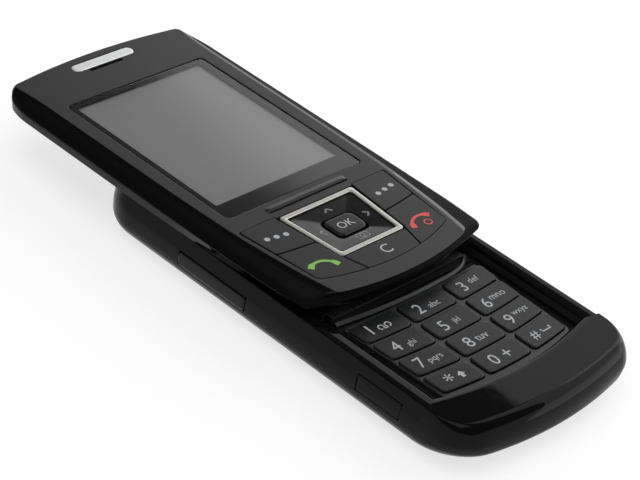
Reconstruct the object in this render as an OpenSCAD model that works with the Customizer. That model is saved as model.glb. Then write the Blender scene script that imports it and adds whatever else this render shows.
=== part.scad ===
// Slider phone: a keypad half and a display half that slides over it.
// X runs across the phone, Y from the chin to the top end, Z from the back to the display.
// The phone lies on its back and is drawn slid open. Each module is drawn with y = 0 at the
// chin end, and place() then puts the middle of the open phone over the origin.

/* [Overall] */
// Width of both halves
body_w = 49.5; // [48:0.5:54]
// Length of the keypad half
base_len = 99.2; // [98:0.2:104]
// Height of the keypad half up to its rails
base_h = 9.8; // [9.8:0.1:11]
// How far the closed display half reaches past the keypad half's top end
top_overhang = 0.5; // [0.3:0.1:0.8]
// Thickness of the display half
slider_t = 4.0; // [3.9:0.1:5]
// Gap between the two halves
slide_gap = 0.3; // [0.2:0.05:0.5]
// Travel of the display half
slide_travel = 28.3; // [26:0.1:28.5]
// Length of the chin in front of the closed display half
chin_len = 9.8; // [9:0.1:10.4]
// Gap between the chin and the closed display half
chin_gap = 0.2; // [0.1:0.05:0.4]

/* [Keypad half shells] */
// Radius of the lower side edges
edge_r = 4.5; // [3.5:0.1:5.5]
// Corner radius in plan at the chin end
chin_corner_r = 9.4; // [8:0.1:11]
// Corner radius in plan at the top end
top_corner_r = 10; // [8:0.1:12]
// How far the chin end bows out in plan
chin_bow = 1.2; // [0.8:0.1:1.6]
// Length over which the back sweeps up to the chin end
chin_sweep = 14; // [10:0.5:16]
// Length over which the top of the chin rounds down
chin_round = 4.2; // [3:0.1:5]
// Height of the joint line between the two shells
split_z = 3.2; // [3:0.1:3.5]
// Thickness of the side walls
wall = 1.4; // [1.2:0.1:1.6]
// Thickness of the back under the hollow
back_t = 1.8; // [1.7:0.1:2.2]
// Thickness of the rails and the chin above the hollow
rail_t = 2.8; // [2.7:0.1:3.2]
// Depth of the keypad and deck below the rails
deck_drop = 1.4; // [1.3:0.1:1.5]
// Distance from the side to the slots along the rails
rail_w = 6.35; // [6.2:0.05:6.5]
// Width of the slots along the rails
slot_w = 1.6; // [1.5:0.1:1.8]
// Lean of the rails' outer faces at their top
rail_lean = 0.6; // [0.3:0.1:0.9]
// Distance from the sunk area's upper end to the top end
well_inset = 4.6; // [4.4:0.1:5.2]

/* [Keypad] */
// Thickness of the keypad plate
bezel_t = 0.7; // [0.6:0.1:0.8]
// Length of the keypad plate from the chin to the deck
bezel_len = 28.9; // [28.5:0.1:30]
// Distance of the first row's top edge from the chin
keys_len = 26.2; // [25.7:0.1:26.4]
// Distance from row to row
key_pitch = 6.1; // [5.9:0.1:6.1]
// Height of a key cap along the phone
key_h = 5.2; // [4.8:0.1:5.4]
// Half width of the middle column
mid_key_half_w = 5.65; // [5.2:0.05:5.8]
// Gap between the columns
column_gap = 1.05; // [0.9:0.05:1.2]
// Plate left outside the outer keys at the first row
key_margin = 0.4; // [0.4:0.05:0.8]
// How much the outer edges draw in down the keypad
key_draw_in = 1.4; // [1:0.1:1.8]
// Height of the key caps above the keypad plate
key_rise = 0.35; // [0.2:0.05:0.5]
// Corner radius of a key cap
key_r = 0.8; // [0.5:0.1:1]
// Travel of the key caps
key_travel = 0.25; // [0.15:0.05:0.3]

/* [Battery and back] */
// Distance from the cover's side edges to the battery
battery_margin = 1.8; // [1.8:0.1:2.6]
// Distance from the battery to the SIM holder
bay_gap = 2.5; // [2.3:0.1:3.5]
// Distance from the SIM holder to the cover's upper end
sim_margin = 2; // [1.8:0.1:3]
// Gap between the battery bay and the main board
bay_play = 0.1; // [0.1:0.05:0.5]
// Lower end of the battery from the chin end
battery_y = 20; // [19:0.5:20]
// Wall of the battery bay
bay_wall = 0.8; // [0.6:0.1:0.9]
// Thickness of the battery bay's roof
bay_roof = 0.4; // [0.3:0.1:0.5]
// Thickness of the battery cover
cover_t = 0.9; // [0.8:0.05:0.95]
// Distance from the side to the battery cover
cover_margin = 5.95; // [5.9:0.05:6.2]
// Distance of the battery cover's upper end from the top end
cover_inset = 15.2; // [15:0.1:16]
// Travel of the battery cover to its release point
cover_travel = 6; // [5:0.5:7]
// Length of the battery cover's tabs
tab_len = 5; // [4:0.5:6]
// Distance of the tabs from the battery cover's ends
tab_inset = 14; // [13:0.5:16]
// How far the tabs stand out at the sides
tab_reach = 0.6; // [0.4:0.1:0.6]
// Width of the SIM holder
sim_w = 26; // [25:0.5:27]
// Length of the SIM holder
sim_len = 15.5; // [15:0.5:15.5]
// Thickness of the SIM holder
sim_t = 1.2; // [1:0.1:1.4]

/* [Boards and inner pieces] */
// Thickness of the main board
main_board_t = 0.75; // [0.6:0.05:0.9]
// Distance from the side to the main board
board_margin = 5.55; // [5.4:0.05:6]
// Distance of the main board's upper end from the top end
board_inset = 5.2; // [5:0.1:6]
// Thickness of both switch sheets
sheet_t = 0.15; // [0.1:0.05:0.2]
// Width of the loudspeaker
speaker_w = 12; // [10:0.5:12.5]
// Length of the loudspeaker
speaker_len = 10.5; // [9:0.5:11]
// Height of the loudspeaker
speaker_t = 2.8; // [2.4:0.1:3.4]
// Distance from sound slot to sound slot
slot_pitch = 1.6; // [1.4:0.1:1.8]
// Distance of the vibration motor from the top end
motor_inset = 10.6; // [10:0.1:11]
// Gap between the vibration motor and the back
motor_low = 0.3; // [0.2:0.05:0.5]
// Gap between the vibration motor and the main board
motor_high = 0.5; // [0.4:0.05:0.8]
// Length of the vibration motor
motor_len = 8.5; // [7:0.5:9]
// Length of the vibration weight
weight_len = 3.4; // [2.5:0.1:4]
// Shank radius of the housing screws
screw_r = 0.7; // [0.6:0.05:0.8]
// Head radius of the housing screws
screw_head_r = 1.2; // [1.1:0.05:1.3]
// Distance of the lower housing screws from the chin end
screw_low_y = 30; // [29:0.5:32]
// Distance of the upper housing screws from the top end
screw_inset = 9.7; // [9.4:0.1:10]
// Distance from the side to the lower housing screws
screw_low_side = 3.8; // [3.7:0.1:3.9]
// Distance from the side to the upper housing screws
screw_high_side = 7.95; // [7.8:0.05:8.2]

/* [Side keys and flaps] */
// Length of the volume key
volume_len = 18; // [16:0.5:20]
// Distance of the volume key's middle from the top end
volume_inset = 34.7; // [34:0.1:36]
// Length of the camera key
camera_key_len = 8; // [7:0.5:10]
// Middle of the camera key from the chin end
camera_key_y = 46; // [44:0.5:48]
// Height of the side keys
side_key_h = 3.0; // [2.6:0.1:3]
// How far the side keys stand out
side_key_rise = 0.3; // [0.2:0.05:0.5]
// Travel of the side keys
side_travel = 0.2; // [0.15:0.05:0.25]
// Length of the connector cover
port_cover_len = 10.5; // [10:0.5:11]
// Lower end of the connector cover from the chin end
port_cover_y = 16.5; // [16:0.1:17]
// Height of the connector cover
port_cover_h = 3.2; // [3:0.1:3.4]
// Length of the card cover
card_cover_len = 13; // [12.5:0.5:14]
// Distance of the card cover's upper end from the top end
card_cover_inset = 19.7; // [19.5:0.1:20.2]
// Height of the card cover
card_cover_h = 2.2; // [2:0.1:2.4]
// Depth of the flaps in the side walls
flap_t = 0.9; // [0.8:0.05:1]
// Distance of the connector's middle below the rails' top
port_drop = 3.7; // [3.6:0.05:3.8]
// Distance of the card slot below the rails' top
card_drop = 4.8; // [4.7:0.05:4.9]
// Depth of the card socket
card_socket_len = 13.4; // [12:0.2:14]
// Distance of the microphone from the middle
mic_x = 10.5; // [9:0.5:12]

/* [Slide] */
// Thickness of the steel plate on the deck
base_plate_t = 0.3; // [0.2:0.05:0.4]
// Thickness of the steel plate under the display half
slide_plate_t = 0.3; // [0.2:0.05:0.4]
// Width of a runner's web
runner_w = 0.9; // [0.7:0.1:1]
// Distance of the runners' lower ends from the display half's lower end
runner_start = 3; // [2.9:0.1:4]
// Distance of the runners' upper ends from the keypad half's top end
runner_inset = 5.9; // [5.8:0.1:7]
// Length of the runners' feet
foot_len = 23; // [18:1:24]
// How far a runner's foot reaches under the rail
foot_reach = 1.25; // [1:0.05:1.3]
// Thickness of a runner's foot
foot_t = 0.75; // [0.6:0.05:0.75]
// Radius of the springs' wire
wire_r = 0.25; // [0.2:0.05:0.3]
// Radius of the springs' coils
coil_r = 2.2; // [1.8:0.1:2.4]
// Radius of the springs' pins
spring_pin_r = 0.6; // [0.5:0.05:0.7]
// Width of the ribbon cable
flex_w = 10; // [8:0.5:10]
// Thickness of the ribbon cable
flex_t = 0.12; // [0.1:0.02:0.14]
// Distance from the slide plate's lower end to the ribbon cable's lower end
flex_start = 24.5; // [24:0.5:26]
// Distance between the ribbon cable's ends when open
flex_span = 9.4; // [9:0.2:10]
// Distance of the moving spring pins from the slide plate's upper end
pin_inset = 8.65; // [8:0.05:10]
// Distance of the fixed spring pins from the slots
pin_side = 3.2; // [3:0.1:3.6]

/* [Display half shells] */
// Distance from the side to the face at its widest
face_inset = 3.55; // [3.3:0.05:3.9]
// Distance from the side to the face at its lower corners
face_corner_inset = 7.55; // [7.2:0.05:7.9]
// Height of the joint line below the face
seam_drop = 1.8; // [1.6:0.05:1.9]
// Thickness of the face
face_t = 0.9; // [0.8:0.05:1]
// Thickness of the display half's floor
floor_t = 0.8; // [0.7:0.05:0.9]
// Thickness of the upper board
upper_board_t = 0.6; // [0.5:0.05:0.7]
// Distance from the side to the upper board
upper_board_margin = 6.55; // [6.4:0.05:6.9]

/* [Display] */
// Width of the face beside the window
window_side = 3.2; // [2.9:0.1:3.5]
// Lower edge of the window from the display half's lower end
window_y = 30.3; // [30:0.1:31]
// Distance of the window's upper edge from the top end
window_top = 12.7; // [12.4:0.1:13]
// Thickness of the window
window_t = 0.55; // [0.5:0.05:0.6]
// Depth of the window's surface below the face
window_drop = 0.15; // [0.1:0.05:0.2]
// Border between the picture and the window's sides
picture_side = 1.8; // [1.6:0.1:2.2]
// Border between the picture and the window's upper edge
picture_top = 1.1; // [1:0.1:1.5]
// Lower edge of the picture from the window's lower edge
picture_y = 5.1; // [4.8:0.1:5.2]
// Thickness of the display module
lcd_t = 0.9; // [0.8:0.05:0.95]
// Thickness of the backlight
backlight_t = 0.45; // [0.35:0.05:0.5]

/* [Upper keys] */
// Width of the face beside the key field at its top
field_side = 1.8; // [1.8:0.1:2.2]
// Top edge of the key field from the display half's lower end
field_top_y = 26.0; // [25.8:0.1:26.2]
// Length of the key field's sides
field_side_len = 18.8; // [18.5:0.1:19]
// Half width of the silver frame at its top
frame_top_w = 9.75; // [9.4:0.05:10]
// Half width of the silver frame at its bottom
frame_bottom_w = 8.4; // [8:0.05:8.6]
// Length of the silver frame
frame_len = 15.5; // [15:0.1:16]
// Width of the silver frame's bars
frame_bar = 1.05; // [0.9:0.05:1.2]
// Width of the middle key
ok_w = 7.3; // [6.6:0.1:7.4]
// Length of the middle key
ok_len = 5.3; // [4.8:0.1:5.4]
// Gap round the middle key
ok_gap = 0.35; // [0.3:0.05:0.4]
// Travel of the upper keys
upper_travel = 0.3; // [0.2:0.05:0.3]

/* [Earpiece and camera] */
// Length of the earpiece grille
grille_w = 16; // [14:0.5:17]
// Width of the earpiece grille
grille_h = 3; // [2.6:0.1:3.2]
// Distance of the earpiece grille's middle from the top end
grille_inset = 2.8; // [2.7:0.1:3]
// Side of the camera module
camera_side = 6.5; // [6:0.1:7]
// Height of the camera module
camera_h = 2.2; // [2:0.1:2.4]
// Distance of the camera's middle from the side
camera_margin = 12.25; // [11.8:0.05:12.8]
// Distance of the camera's middle from the top end
camera_inset = 6.9; // [6.6:0.1:7.2]
// Radius of the camera window
camera_window_r = 2.6; // [2.2:0.1:2.8]

/* [Fits] */
// Clearance round keys and flaps
key_fit = 0.12; // [0.08:0.01:0.15]
// Gap between neighbouring upper keys
key_gap = 0.35; // [0.3:0.05:0.4]
// Clearance between pieces that lie against each other
seat = 0.05; // [0.03:0.01:0.08]
// Running clearance of the slide
run = 0.15; // [0.1:0.01:0.2]
// Reach of a key's retaining lip
lip = 0.25; // [0.2:0.01:0.25]
// Thickness of a key's retaining lip
lip_t = 0.3; // [0.2:0.05:0.3]

/* [Hidden] */

// More than any size of the phone, for cuts that run right through
far = 200;
half_w = body_w / 2;
slider_len = base_len + top_overhang - chin_len - chin_gap;
// The display half's lower end when the phone is open
slider_y = chin_len + chin_gap + slide_travel;
open_len = slider_y + slider_len;

// Places across and along the keypad half
plate_half_w = half_w - rail_w;
cover_half_w = half_w - cover_margin;
cover_end_y = base_len - cover_inset;
battery_w = 2 * (cover_half_w - battery_margin);
sim_y = cover_end_y - sim_margin - sim_len;
battery_len = sim_y - bay_gap - battery_y;
main_board_half_w = half_w - board_margin;
keys_top_y = chin_len + keys_len;
side_key_in = mid_key_half_w + column_gap;
side_key_out = plate_half_w - key_margin;
volume_y = base_len - volume_inset;
card_cover_y = base_len - card_cover_inset - card_cover_len;
runner_y = slider_y + runner_start;
runner_end_y = base_len - runner_inset;

// Places across and along the display half
face_half_w = half_w - face_inset;
face_corner_w = half_w - face_corner_inset;
window_half_w = face_half_w - window_side;
window_len = slider_len - window_y - window_top;
picture_w = 2 * (window_half_w - picture_side);
picture_len = window_len - picture_y - picture_top;
upper_board_half_w = half_w - upper_board_margin;
field_half_w = face_half_w - field_side;
camera_x = half_w - camera_margin;

// Heights in the keypad half
deck_z = base_h - deck_drop;
hollow_top_z = base_h - rail_t;
bezel_z = deck_z - bezel_t;
key_lip_z = bezel_z - 0.1 - lip_t;
sheet_z = key_lip_z - key_travel - seat - 0.1 - sheet_t;
board_z = sheet_z - main_board_t;
bay_z = cover_t + 0.1;
bay_top_z = board_z - bay_play - bay_roof;
battery_t = bay_top_z - 0.1 - bay_z;
motor_r = (board_z - back_t - motor_low - motor_high) / 2;
port_mid_z = base_h - port_drop;
card_mid_z = base_h - card_drop;

// Heights in the display half
under_z = base_h + slide_gap;
face_z = under_z + slider_t;
seam_z = face_z - seam_drop;
skin_z = face_z - face_t;
window_z = face_z - window_drop - window_t;
lcd_z = window_z - 0.4 - lcd_t;
backlight_z = lcd_z - backlight_t;
upper_board_z = backlight_z - seat - upper_board_t;
upper_sheet_z = upper_board_z + upper_board_t;
plunger_z = upper_sheet_z + sheet_t + upper_travel + seat;
upper_lip_z = skin_z - 0.1 - lip_t;

// Puts the middle of the open phone over the origin
module place() { translate([0, -open_len / 2, 0]) children(); }

// A block from one corner to the opposite one
module block(low, high) { translate(low) cube(high - low); }

// The same shape on the left and the right
module both_sides() {
    children();
    mirror([1, 0, 0]) children();
}

function unit(v) = v / norm(v);

// Points of an arc round c from angle a0 over the angle da
function arc(c, r, a0, da, n = 6) =
    [for (i = [0:n]) c + r * [cos(a0 + da * i / n), sin(a0 + da * i / n)]];

// The outline's point i, rounded by radius r (kept sharp where r is 0)
function fillet(p, i, r, n) = let (
    k = len(p), b = p[i],
    u = unit(p[(i + k - 1) % k] - b), v = unit(p[(i + 1) % k] - b),
    half = acos(u * v) / 2,
    m = b + unit(u + v) * r / sin(half),
    s = b + u * r / tan(half) - m, e = b + v * r / tan(half) - m,
    a0 = atan2(s[1], s[0]),
    da = (atan2(e[1], e[0]) - a0 + 540) % 360 - 180
) r == 0 ? [b] : arc(m, r, a0, da, n);

// An outline with each point rounded by its own radius
function rounded(p, r, n = 4) =
    [for (i = [0:len(p) - 1]) for (q = fillet(p, i, is_list(r) ? r[i] : r, n)) q];

// The right half of an outline, completed by its mirror image
function mirrored(p) =
    concat(p, [for (i = [len(p) - 1:-1:0]) if (abs(p[i][0]) > 0.001) [-p[i][0], p[i][1]]]);

// An outline moved outwards by d along both its neighbours' normals
function grown(p, d) = [for (i = [0:len(p) - 1]) let (
    k = len(p),
    a = unit(p[i] - p[(i + k - 1) % k]), b = unit(p[(i + 1) % k] - p[i]),
    na = [a[1], -a[0]], nb = [b[1], -b[0]]
) p[i] + (na + nb) * d / (1 + na * nb)];

// ---------- keypad half: shared shapes ----------

// Plan outline of the keypad half, drawn in by side, front and back
function base_outline(side, front, back) = let (
    w = half_w - side,
    rf = max(chin_corner_r - side, 2), rb = max(top_corner_r - side, 2),
    cx = w - rf, top = base_len - back
) mirrored(concat(
    [for (i = [0:2]) [cx * i / 3, front + chin_bow * pow(i / 3, 2)]],
    arc([cx, front + chin_bow + rf], rf, -90, 90),
    arc([w - rb, top - rb - 0.8], rb, 0, 90),
    [[(w - rb) / 2, top - 0.2], [0, top]]
));

// How far the chin end is drawn in at height z, from the sweep below and the rounding above
function chin_in(z) = z < edge_r
    ? chin_sweep * (1 - sqrt(1 - pow(1 - z / edge_r, 2)))
    : chin_round * (1 - sqrt(1 - pow((z - edge_r) / (base_h - edge_r), 2)));

// How far the sides are drawn in at height z, from the rounded edge below and the small one above
function side_in(z) = z < edge_r
    ? edge_r * (1 - sqrt(1 - pow(1 - z / edge_r, 2)))
    : 0.9 * pow(max(0, (z - edge_r - 1) / (base_h - edge_r - 1)), 2);

// The outer form of the keypad half
module base_form() {
    levels = [0, 0.13 * edge_r, edge_r / 2, edge_r, 0.7 * base_h, 0.88 * base_h, 0.96 * base_h, base_h];
    hull() for (z = levels) {
        t = 0.001;
        translate([0, 0, z == 0 ? 0 : z - t])
            linear_extrude(t) polygon(base_outline(side_in(z), chin_in(z), side_in(z)));
    }
}

// The form with the rails' outer faces cut back above the chin
module base_skin() {
    rail_start = chin_len + 2.2;
    lean_z = 0.69 * base_h;
    difference() {
        base_form();
        both_sides() translate([0, far + rail_start, 0]) rotate([90, 0, 0]) linear_extrude(far)
            polygon([[half_w + 1, lean_z], [half_w, lean_z],
                     [half_w - 0.75 - rail_lean, base_h + 0.05], [half_w + 1, base_h + 0.05]]);
    }
}

// The hollow of the keypad half between two heights
module base_hollow(z0, z1, side) {
    translate([0, 0, z0]) linear_extrude(z1 - z0)
        polygon(base_outline(side, max(side, chin_in(z0) + wall), side));
}

// Outline of the sunk area of the keypad and deck; up is 0 at its floor and 1 at the rails' top
function well_outline(up) = let (
    w = plate_half_w + slot_w + 0.2 + 1.1 * up,
    y = chin_len + 0.8 * (1 - up), end = base_len - well_inset + 0.6 * up
) mirrored(concat(
    [for (i = [0:4]) [w * i / 5, y + 2.9 * pow(i / 5, 2)]],
    [[w, y + 2.9], [w, end], [0, end]]
));

// Keypad plate's outline: the sunk area's lower end, cut to the plate's width and length
module bezel_outline(gap) {
    intersection() {
        polygon(grown(well_outline(0), -gap));
        translate([-plate_half_w + gap, 0])
            square([2 * (plate_half_w - gap), chin_len + bezel_len - gap]);
    }
}

// Housing screws: x and y of each
screw_low = [half_w - screw_low_side, screw_low_y];
screw_high = [half_w - screw_high_side, base_len - screw_inset];
screw_spots = [screw_low, [-screw_low[0], screw_low[1]], screw_high, [-screw_high[0], screw_high[1]]];
boss_r = screw_r + 0.8;
// Gap between the vibration motor and its weight
weight_play = 0.3;

// Slots of the runners
slot_y = chin_len + 2.8;
slot_end_y = runner_end_y + run * 2;
slot_in = plate_half_w;
slot_out = plate_half_w + slot_w;
runner_x = plate_half_w + (slot_w - runner_w) / 2;
foot_y = runner_end_y - foot_len;

// Slot of the ribbon cable reaches this far past it on each side, below and above
flex_play = 0.4;
flex_below = 0.8;
flex_above = 0.9;

// ---------- keypad half: pieces ----------

bay_low = [-battery_w / 2 - 0.15, battery_y - 0.15];
bay_high = [battery_w / 2 + 0.15, battery_y + battery_len + 0.15];
sim_top_z = bay_z + sim_t + seat;

tab_y = [tab_inset, cover_end_y - tab_inset];

module cover_tabs(gap, reach) {
    for (y = tab_y) both_sides()
        block([cover_half_w - 1, y - gap - reach, cover_t / 2 - gap],
              [cover_half_w + tab_reach + gap, y + tab_len + gap, cover_t + gap / 2]);
}

module rear_housing() {
    color("#1b1b1d") place() difference() {
        union() {
            difference() {
                intersection() {
                    base_form();
                    block([-far, -far, -1], [far, far, split_z]);
                }
                base_hollow(back_t, far, edge_r * 0.5);
            }
            // Battery bay
            block([bay_low[0] - bay_wall, bay_low[1] - bay_wall, back_t - 0.1],
                  [bay_high[0] + bay_wall, bay_high[1] + bay_wall, bay_top_z + bay_roof]);
            // Ribs that carry the main board
            for (x = [-10, 10]) block([x - 0.5, bay_low[1] + 2, bay_top_z],
                                      [x + 0.5, bay_high[1] - 2, board_z]);
            // SIM pocket
            block([-sim_w / 2 - 0.9, sim_y - 0.9, back_t - 0.1],
                  [sim_w / 2 + 0.9, sim_y + sim_len + 0.9, sim_top_z + 0.6]);
        }
        block([bay_low[0], bay_low[1], -1], [bay_high[0], bay_high[1], bay_top_z]);
        block([-sim_w / 2 - 0.15, sim_y - 0.15, -1],
              [sim_w / 2 + 0.15, sim_y + sim_len + 0.15, sim_top_z]);
        // Window for the battery contacts
        block([-5, bay_high[1] - 0.1, bay_z + 1.2], [5, bay_high[1] + bay_wall + 0.1, far]);
        // Recess of the battery cover, open at the chin, with grooves and entries for its tabs
        block([-cover_half_w - key_fit, -1, -1],
              [cover_half_w + key_fit, cover_end_y + key_fit, cover_t + seat]);
        cover_tabs(key_fit, cover_travel);
        for (y = tab_y) both_sides()
            block([cover_half_w, y - cover_travel - 2 * key_fit - tab_len, -1],
                  [cover_half_w + tab_reach + key_fit, y - cover_travel + 0.01, cover_t + seat]);
        // Sound slots
        for (i = [-1.5:1.5]) translate([speaker_x, speaker_y + speaker_len / 2 + i * slot_pitch, 0])
            cube([speaker_w - 4, 0.7, 2 * back_t + 1], center = true);
        // Screw heads and shanks
        for (s = screw_spots) translate(s) {
            translate([0, 0, -1]) cylinder(h = 2, r = screw_head_r + seat, $fn = 32);
            cylinder(h = 4, r = screw_r + seat, $fn = 24);
        }
        side_openings();
    }
}

module front_housing() {
    color("#2a2a2c") place() difference() {
        union() {
            difference() {
                intersection() {
                    base_skin();
                    block([-far, -far, split_z], [far, far, far]);
                }
                base_hollow(split_z - 1, hollow_top_z, wall);
            }
            for (s = screw_spots) translate([s[0], s[1], back_t + seat])
                cylinder(h = hollow_top_z - back_t, r = boss_r, $fn = 32);
        }
        // Sunk area between the rails
        hull() for (up = [0, 1]) translate([0, 0, up == 0 ? deck_z : base_h + 0.1])
            linear_extrude(0.001) polygon(well_outline(up));
        // Seat of the keypad plate, and the opening under it
        translate([0, 0, bezel_z]) linear_extrude(far) bezel_outline(0);
        block([-plate_half_w, keys_top_y - 3 * key_pitch - key_h - 0.8, -1],
              [plate_half_w, keys_top_y + 1, bezel_z + 0.1]);
        both_sides() {
            // Blind slot beside the keypad, through slot and foot channel beside the deck
            block([slot_in, slot_y, bezel_z], [slot_out, slot_end_y, far]);
            block([slot_in, runner_y - run * 2, -1], [slot_out, slot_end_y, far]);
            block([slot_in, foot_y - slide_travel - run * 2, -1],
                  [runner_x + runner_w + foot_reach + run, slot_end_y, hollow_top_z + 0.8]);
        }
        // Slot of the ribbon cable
        flex_slot(flex_low_y, far);
        // Screw holes
        for (s = screw_spots) translate([s[0], s[1], 0])
            cylinder(h = screw_top_z + 0.3, r = screw_r + seat, $fn = 24);
        // Microphone hole
        translate([mic_x, mic_y + 1.2, -1]) cylinder(h = far, r = 0.4, $fn = 16);
        side_openings();
    }
}

// Slots of the side keys, pockets of the two flaps, and the mouths behind the flaps
module side_openings() {
    side_slot(-1, volume_y, volume_len);
    side_slot(1, camera_key_y, camera_key_len);
    port_flap_space(key_fit);
    block([-far, port_mid_y - port_half_len + 0.4, port_mid_z - 0.9],
          [-half_w + wall + 1, port_mid_y + port_half_len - 0.4, port_mid_z + 0.9]);
    card_flap_space(key_fit);
    block([half_w - wall - 1, card_mid_y - card_half_len + 0.4, card_mid_z - 0.55],
          [far, card_mid_y + card_half_len - 0.4, card_mid_z + 0.55]);
}

// Space of the ribbon cable where it goes down or up at y
module flex_slot(y, top) {
    block([-flex_w / 2 - flex_play, y - flex_below, -1], [flex_w / 2 + flex_play, y + flex_above, top]);
}

module keypad_bezel() {
    color("#6a6a6c") place() difference() {
        translate([0, 0, bezel_z + 0.001]) linear_extrude(bezel_t - 0.001) bezel_outline(seat);
        for (c = [-1:1], r = [0:3]) linear_extrude(far)
            polygon(rounded(grown(key_corners(c, r), key_fit), key_corner_radii));
    }
}

// ---------- twelve keys ----------

key_corner_radii = [key_r, 0, 0, key_r, key_r, 0, 0, key_r];

// Height in plan of a row line at x: the rows sag a little more down the keypad
function row_y(y, x) = y + (0.5 + (keys_top_y - y) * 0.042) * pow(x / side_key_out, 2);

// Outer edge of the outer columns at y
function outer_x(y) = side_key_out - key_draw_in * (keys_top_y - y) / (3 * key_pitch + key_h);

// Corners of the key in column c (-1, 0 or 1) and row r (0 at the top)
function key_corners(c, r) = let (
    top = keys_top_y - r * key_pitch, low = top - key_h,
    xl = [c == 0 ? -mid_key_half_w : side_key_in, c == 0 ? mid_key_half_w : outer_x(low)],
    xt = [c == 0 ? -mid_key_half_w : side_key_in, c == 0 ? mid_key_half_w : outer_x(top)],
    right = concat(
        [for (t = [0, 1/3, 2/3, 1]) let (x = xl[0] + (xl[1] - xl[0]) * t) [x, row_y(low, x)]],
        [for (t = [1, 2/3, 1/3, 0]) let (x = xt[0] + (xt[1] - xt[0]) * t) [x, row_y(top, x)]])
) c < 0 ? [for (i = [3, 2, 1, 0, 7, 6, 5, 4]) [-right[i][0], right[i][1]]] : right;

module key_cap(c, r) {
    p = key_corners(c, r);
    color("#55565a") place() {
        translate([0, 0, key_lip_z + lip_t / 2])
            linear_extrude(deck_z + key_rise - key_lip_z - lip_t / 2) polygon(rounded(p, key_corner_radii));
        translate([0, 0, key_lip_z])
            linear_extrude(lip_t) polygon(rounded(grown(p, lip), key_corner_radii));
    }
}

module key_1() { key_cap(-1, 0); }
module key_2() { key_cap(0, 0); }
module key_3() { key_cap(1, 0); }
module key_4() { key_cap(-1, 1); }
module key_5() { key_cap(0, 1); }
module key_6() { key_cap(1, 1); }
module key_7() { key_cap(-1, 2); }
module key_8() { key_cap(0, 2); }
module key_9() { key_cap(1, 2); }
module key_star() { key_cap(-1, 3); }
module key_0() { key_cap(0, 3); }
module key_hash() { key_cap(1, 3); }

module dome_sheet() {
    color("#c9c4b0") place()
        block([-side_key_out + 0.6, keys_top_y - 3 * key_pitch - key_h - 0.4, sheet_z],
              [side_key_out - 0.6, keys_top_y + 0.6, sheet_z + sheet_t]);
}

// ---------- slide mechanism ----------

slide_plate_y = [runner_y - 0.3, runner_end_y + 1.5];
slide_plate_half_w = plate_half_w + 1.8;
spring_mid_y = slide_plate_y[1] - pin_inset - slide_travel / 2;
fixed_pin_x = plate_half_w - pin_side;
moving_pin_x = flex_w / 2 + 3;
// Slack above a pin's end
pin_play = 0.25;
flex_low_y = slide_plate_y[0] + flex_start;
flex_up_y = flex_low_y + flex_span;
flex_bend_y = flex_up_y + 9;

module slide_base_plate() {
    color("#b9bbbd") place() {
        difference() {
            block([-plate_half_w + 0.6, chin_len + bezel_len + 1.5, deck_z],
                  [plate_half_w - 0.6, base_len - well_inset - 0.8, deck_z + base_plate_t]);
            flex_slot(flex_low_y, far);
        }
        both_sides() translate([fixed_pin_x, spring_mid_y, deck_z + base_plate_t / 2])
            cylinder(h = under_z - pin_play - deck_z - base_plate_t / 2, r = spring_pin_r, $fn = 32);
    }
}

slider_screw_spots = [for (y = [slide_plate_y[0] + 3.4, slide_plate_y[1] - 2.5], side = [1, -1])
    [side * (slide_plate_half_w - 3.6), y]];
slider_head_r = 1.1;
slider_shank_r = 0.6;

module slide_plate() {
    color("#b9bbbd") place() {
        difference() {
            block([-slide_plate_half_w, slide_plate_y[0], under_z],
                  [slide_plate_half_w, slide_plate_y[1], under_z + slide_plate_t]);
            flex_slot(flex_up_y, far);
            for (s = slider_screw_spots) translate(s)
                cylinder(h = far, r = slider_head_r + seat, $fn = 32);
        }
        pin_z = deck_z + base_plate_t + pin_play;
        both_sides() translate([moving_pin_x, spring_mid_y + slide_travel / 2, pin_z])
            cylinder(h = under_z + slide_plate_t / 2 - pin_z, r = spring_pin_r, $fn = 32);
    }
}

module slide_runners() {
    foot_z = hollow_top_z + 0.8 - run - foot_t;
    color("#d8d6cc") place() both_sides() {
        block([runner_x, runner_y, bezel_z + 0.3], [runner_x + runner_w, runner_end_y, under_z]);
        block([runner_x, foot_y, foot_z], [runner_x + runner_w, runner_end_y, under_z]);
        block([runner_x, foot_y, foot_z], [runner_x + runner_w + foot_reach, runner_end_y, foot_z + foot_t]);
    }
}

// A wire ring in the plane of the springs
module wire_ring(r) { rotate_extrude($fn = 48) translate([r, 0]) circle(r = wire_r, $fn = 16); }

// A straight wire from p to q in the plane of the springs
module wire_leg(p, q) {
    translate(p) rotate([0, 0, atan2(q[1] - p[1], q[0] - p[0])]) rotate([0, 90, 0])
        cylinder(h = norm(q - p), r = wire_r, $fn = 16);
}

module slide_springs() {
    a = [fixed_pin_x, spring_mid_y];
    b = [moving_pin_x, spring_mid_y + slide_travel / 2];
    eye_r = spring_pin_r + wire_r + seat;
    mid = (a + b) / 2;
    d = unit(b - a);
    z = (deck_z + base_plate_t + under_z) / 2;
    color("#9fa2a5") place() both_sides() translate([0, 0, z]) {
        translate(a) wire_ring(eye_r);
        translate(b) wire_ring(eye_r);
        translate(mid) wire_ring(coil_r);
        wire_leg(a + d * eye_r, mid - d * coil_r);
        wire_leg(mid + d * coil_r, b - d * eye_r);
    }
}

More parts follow.
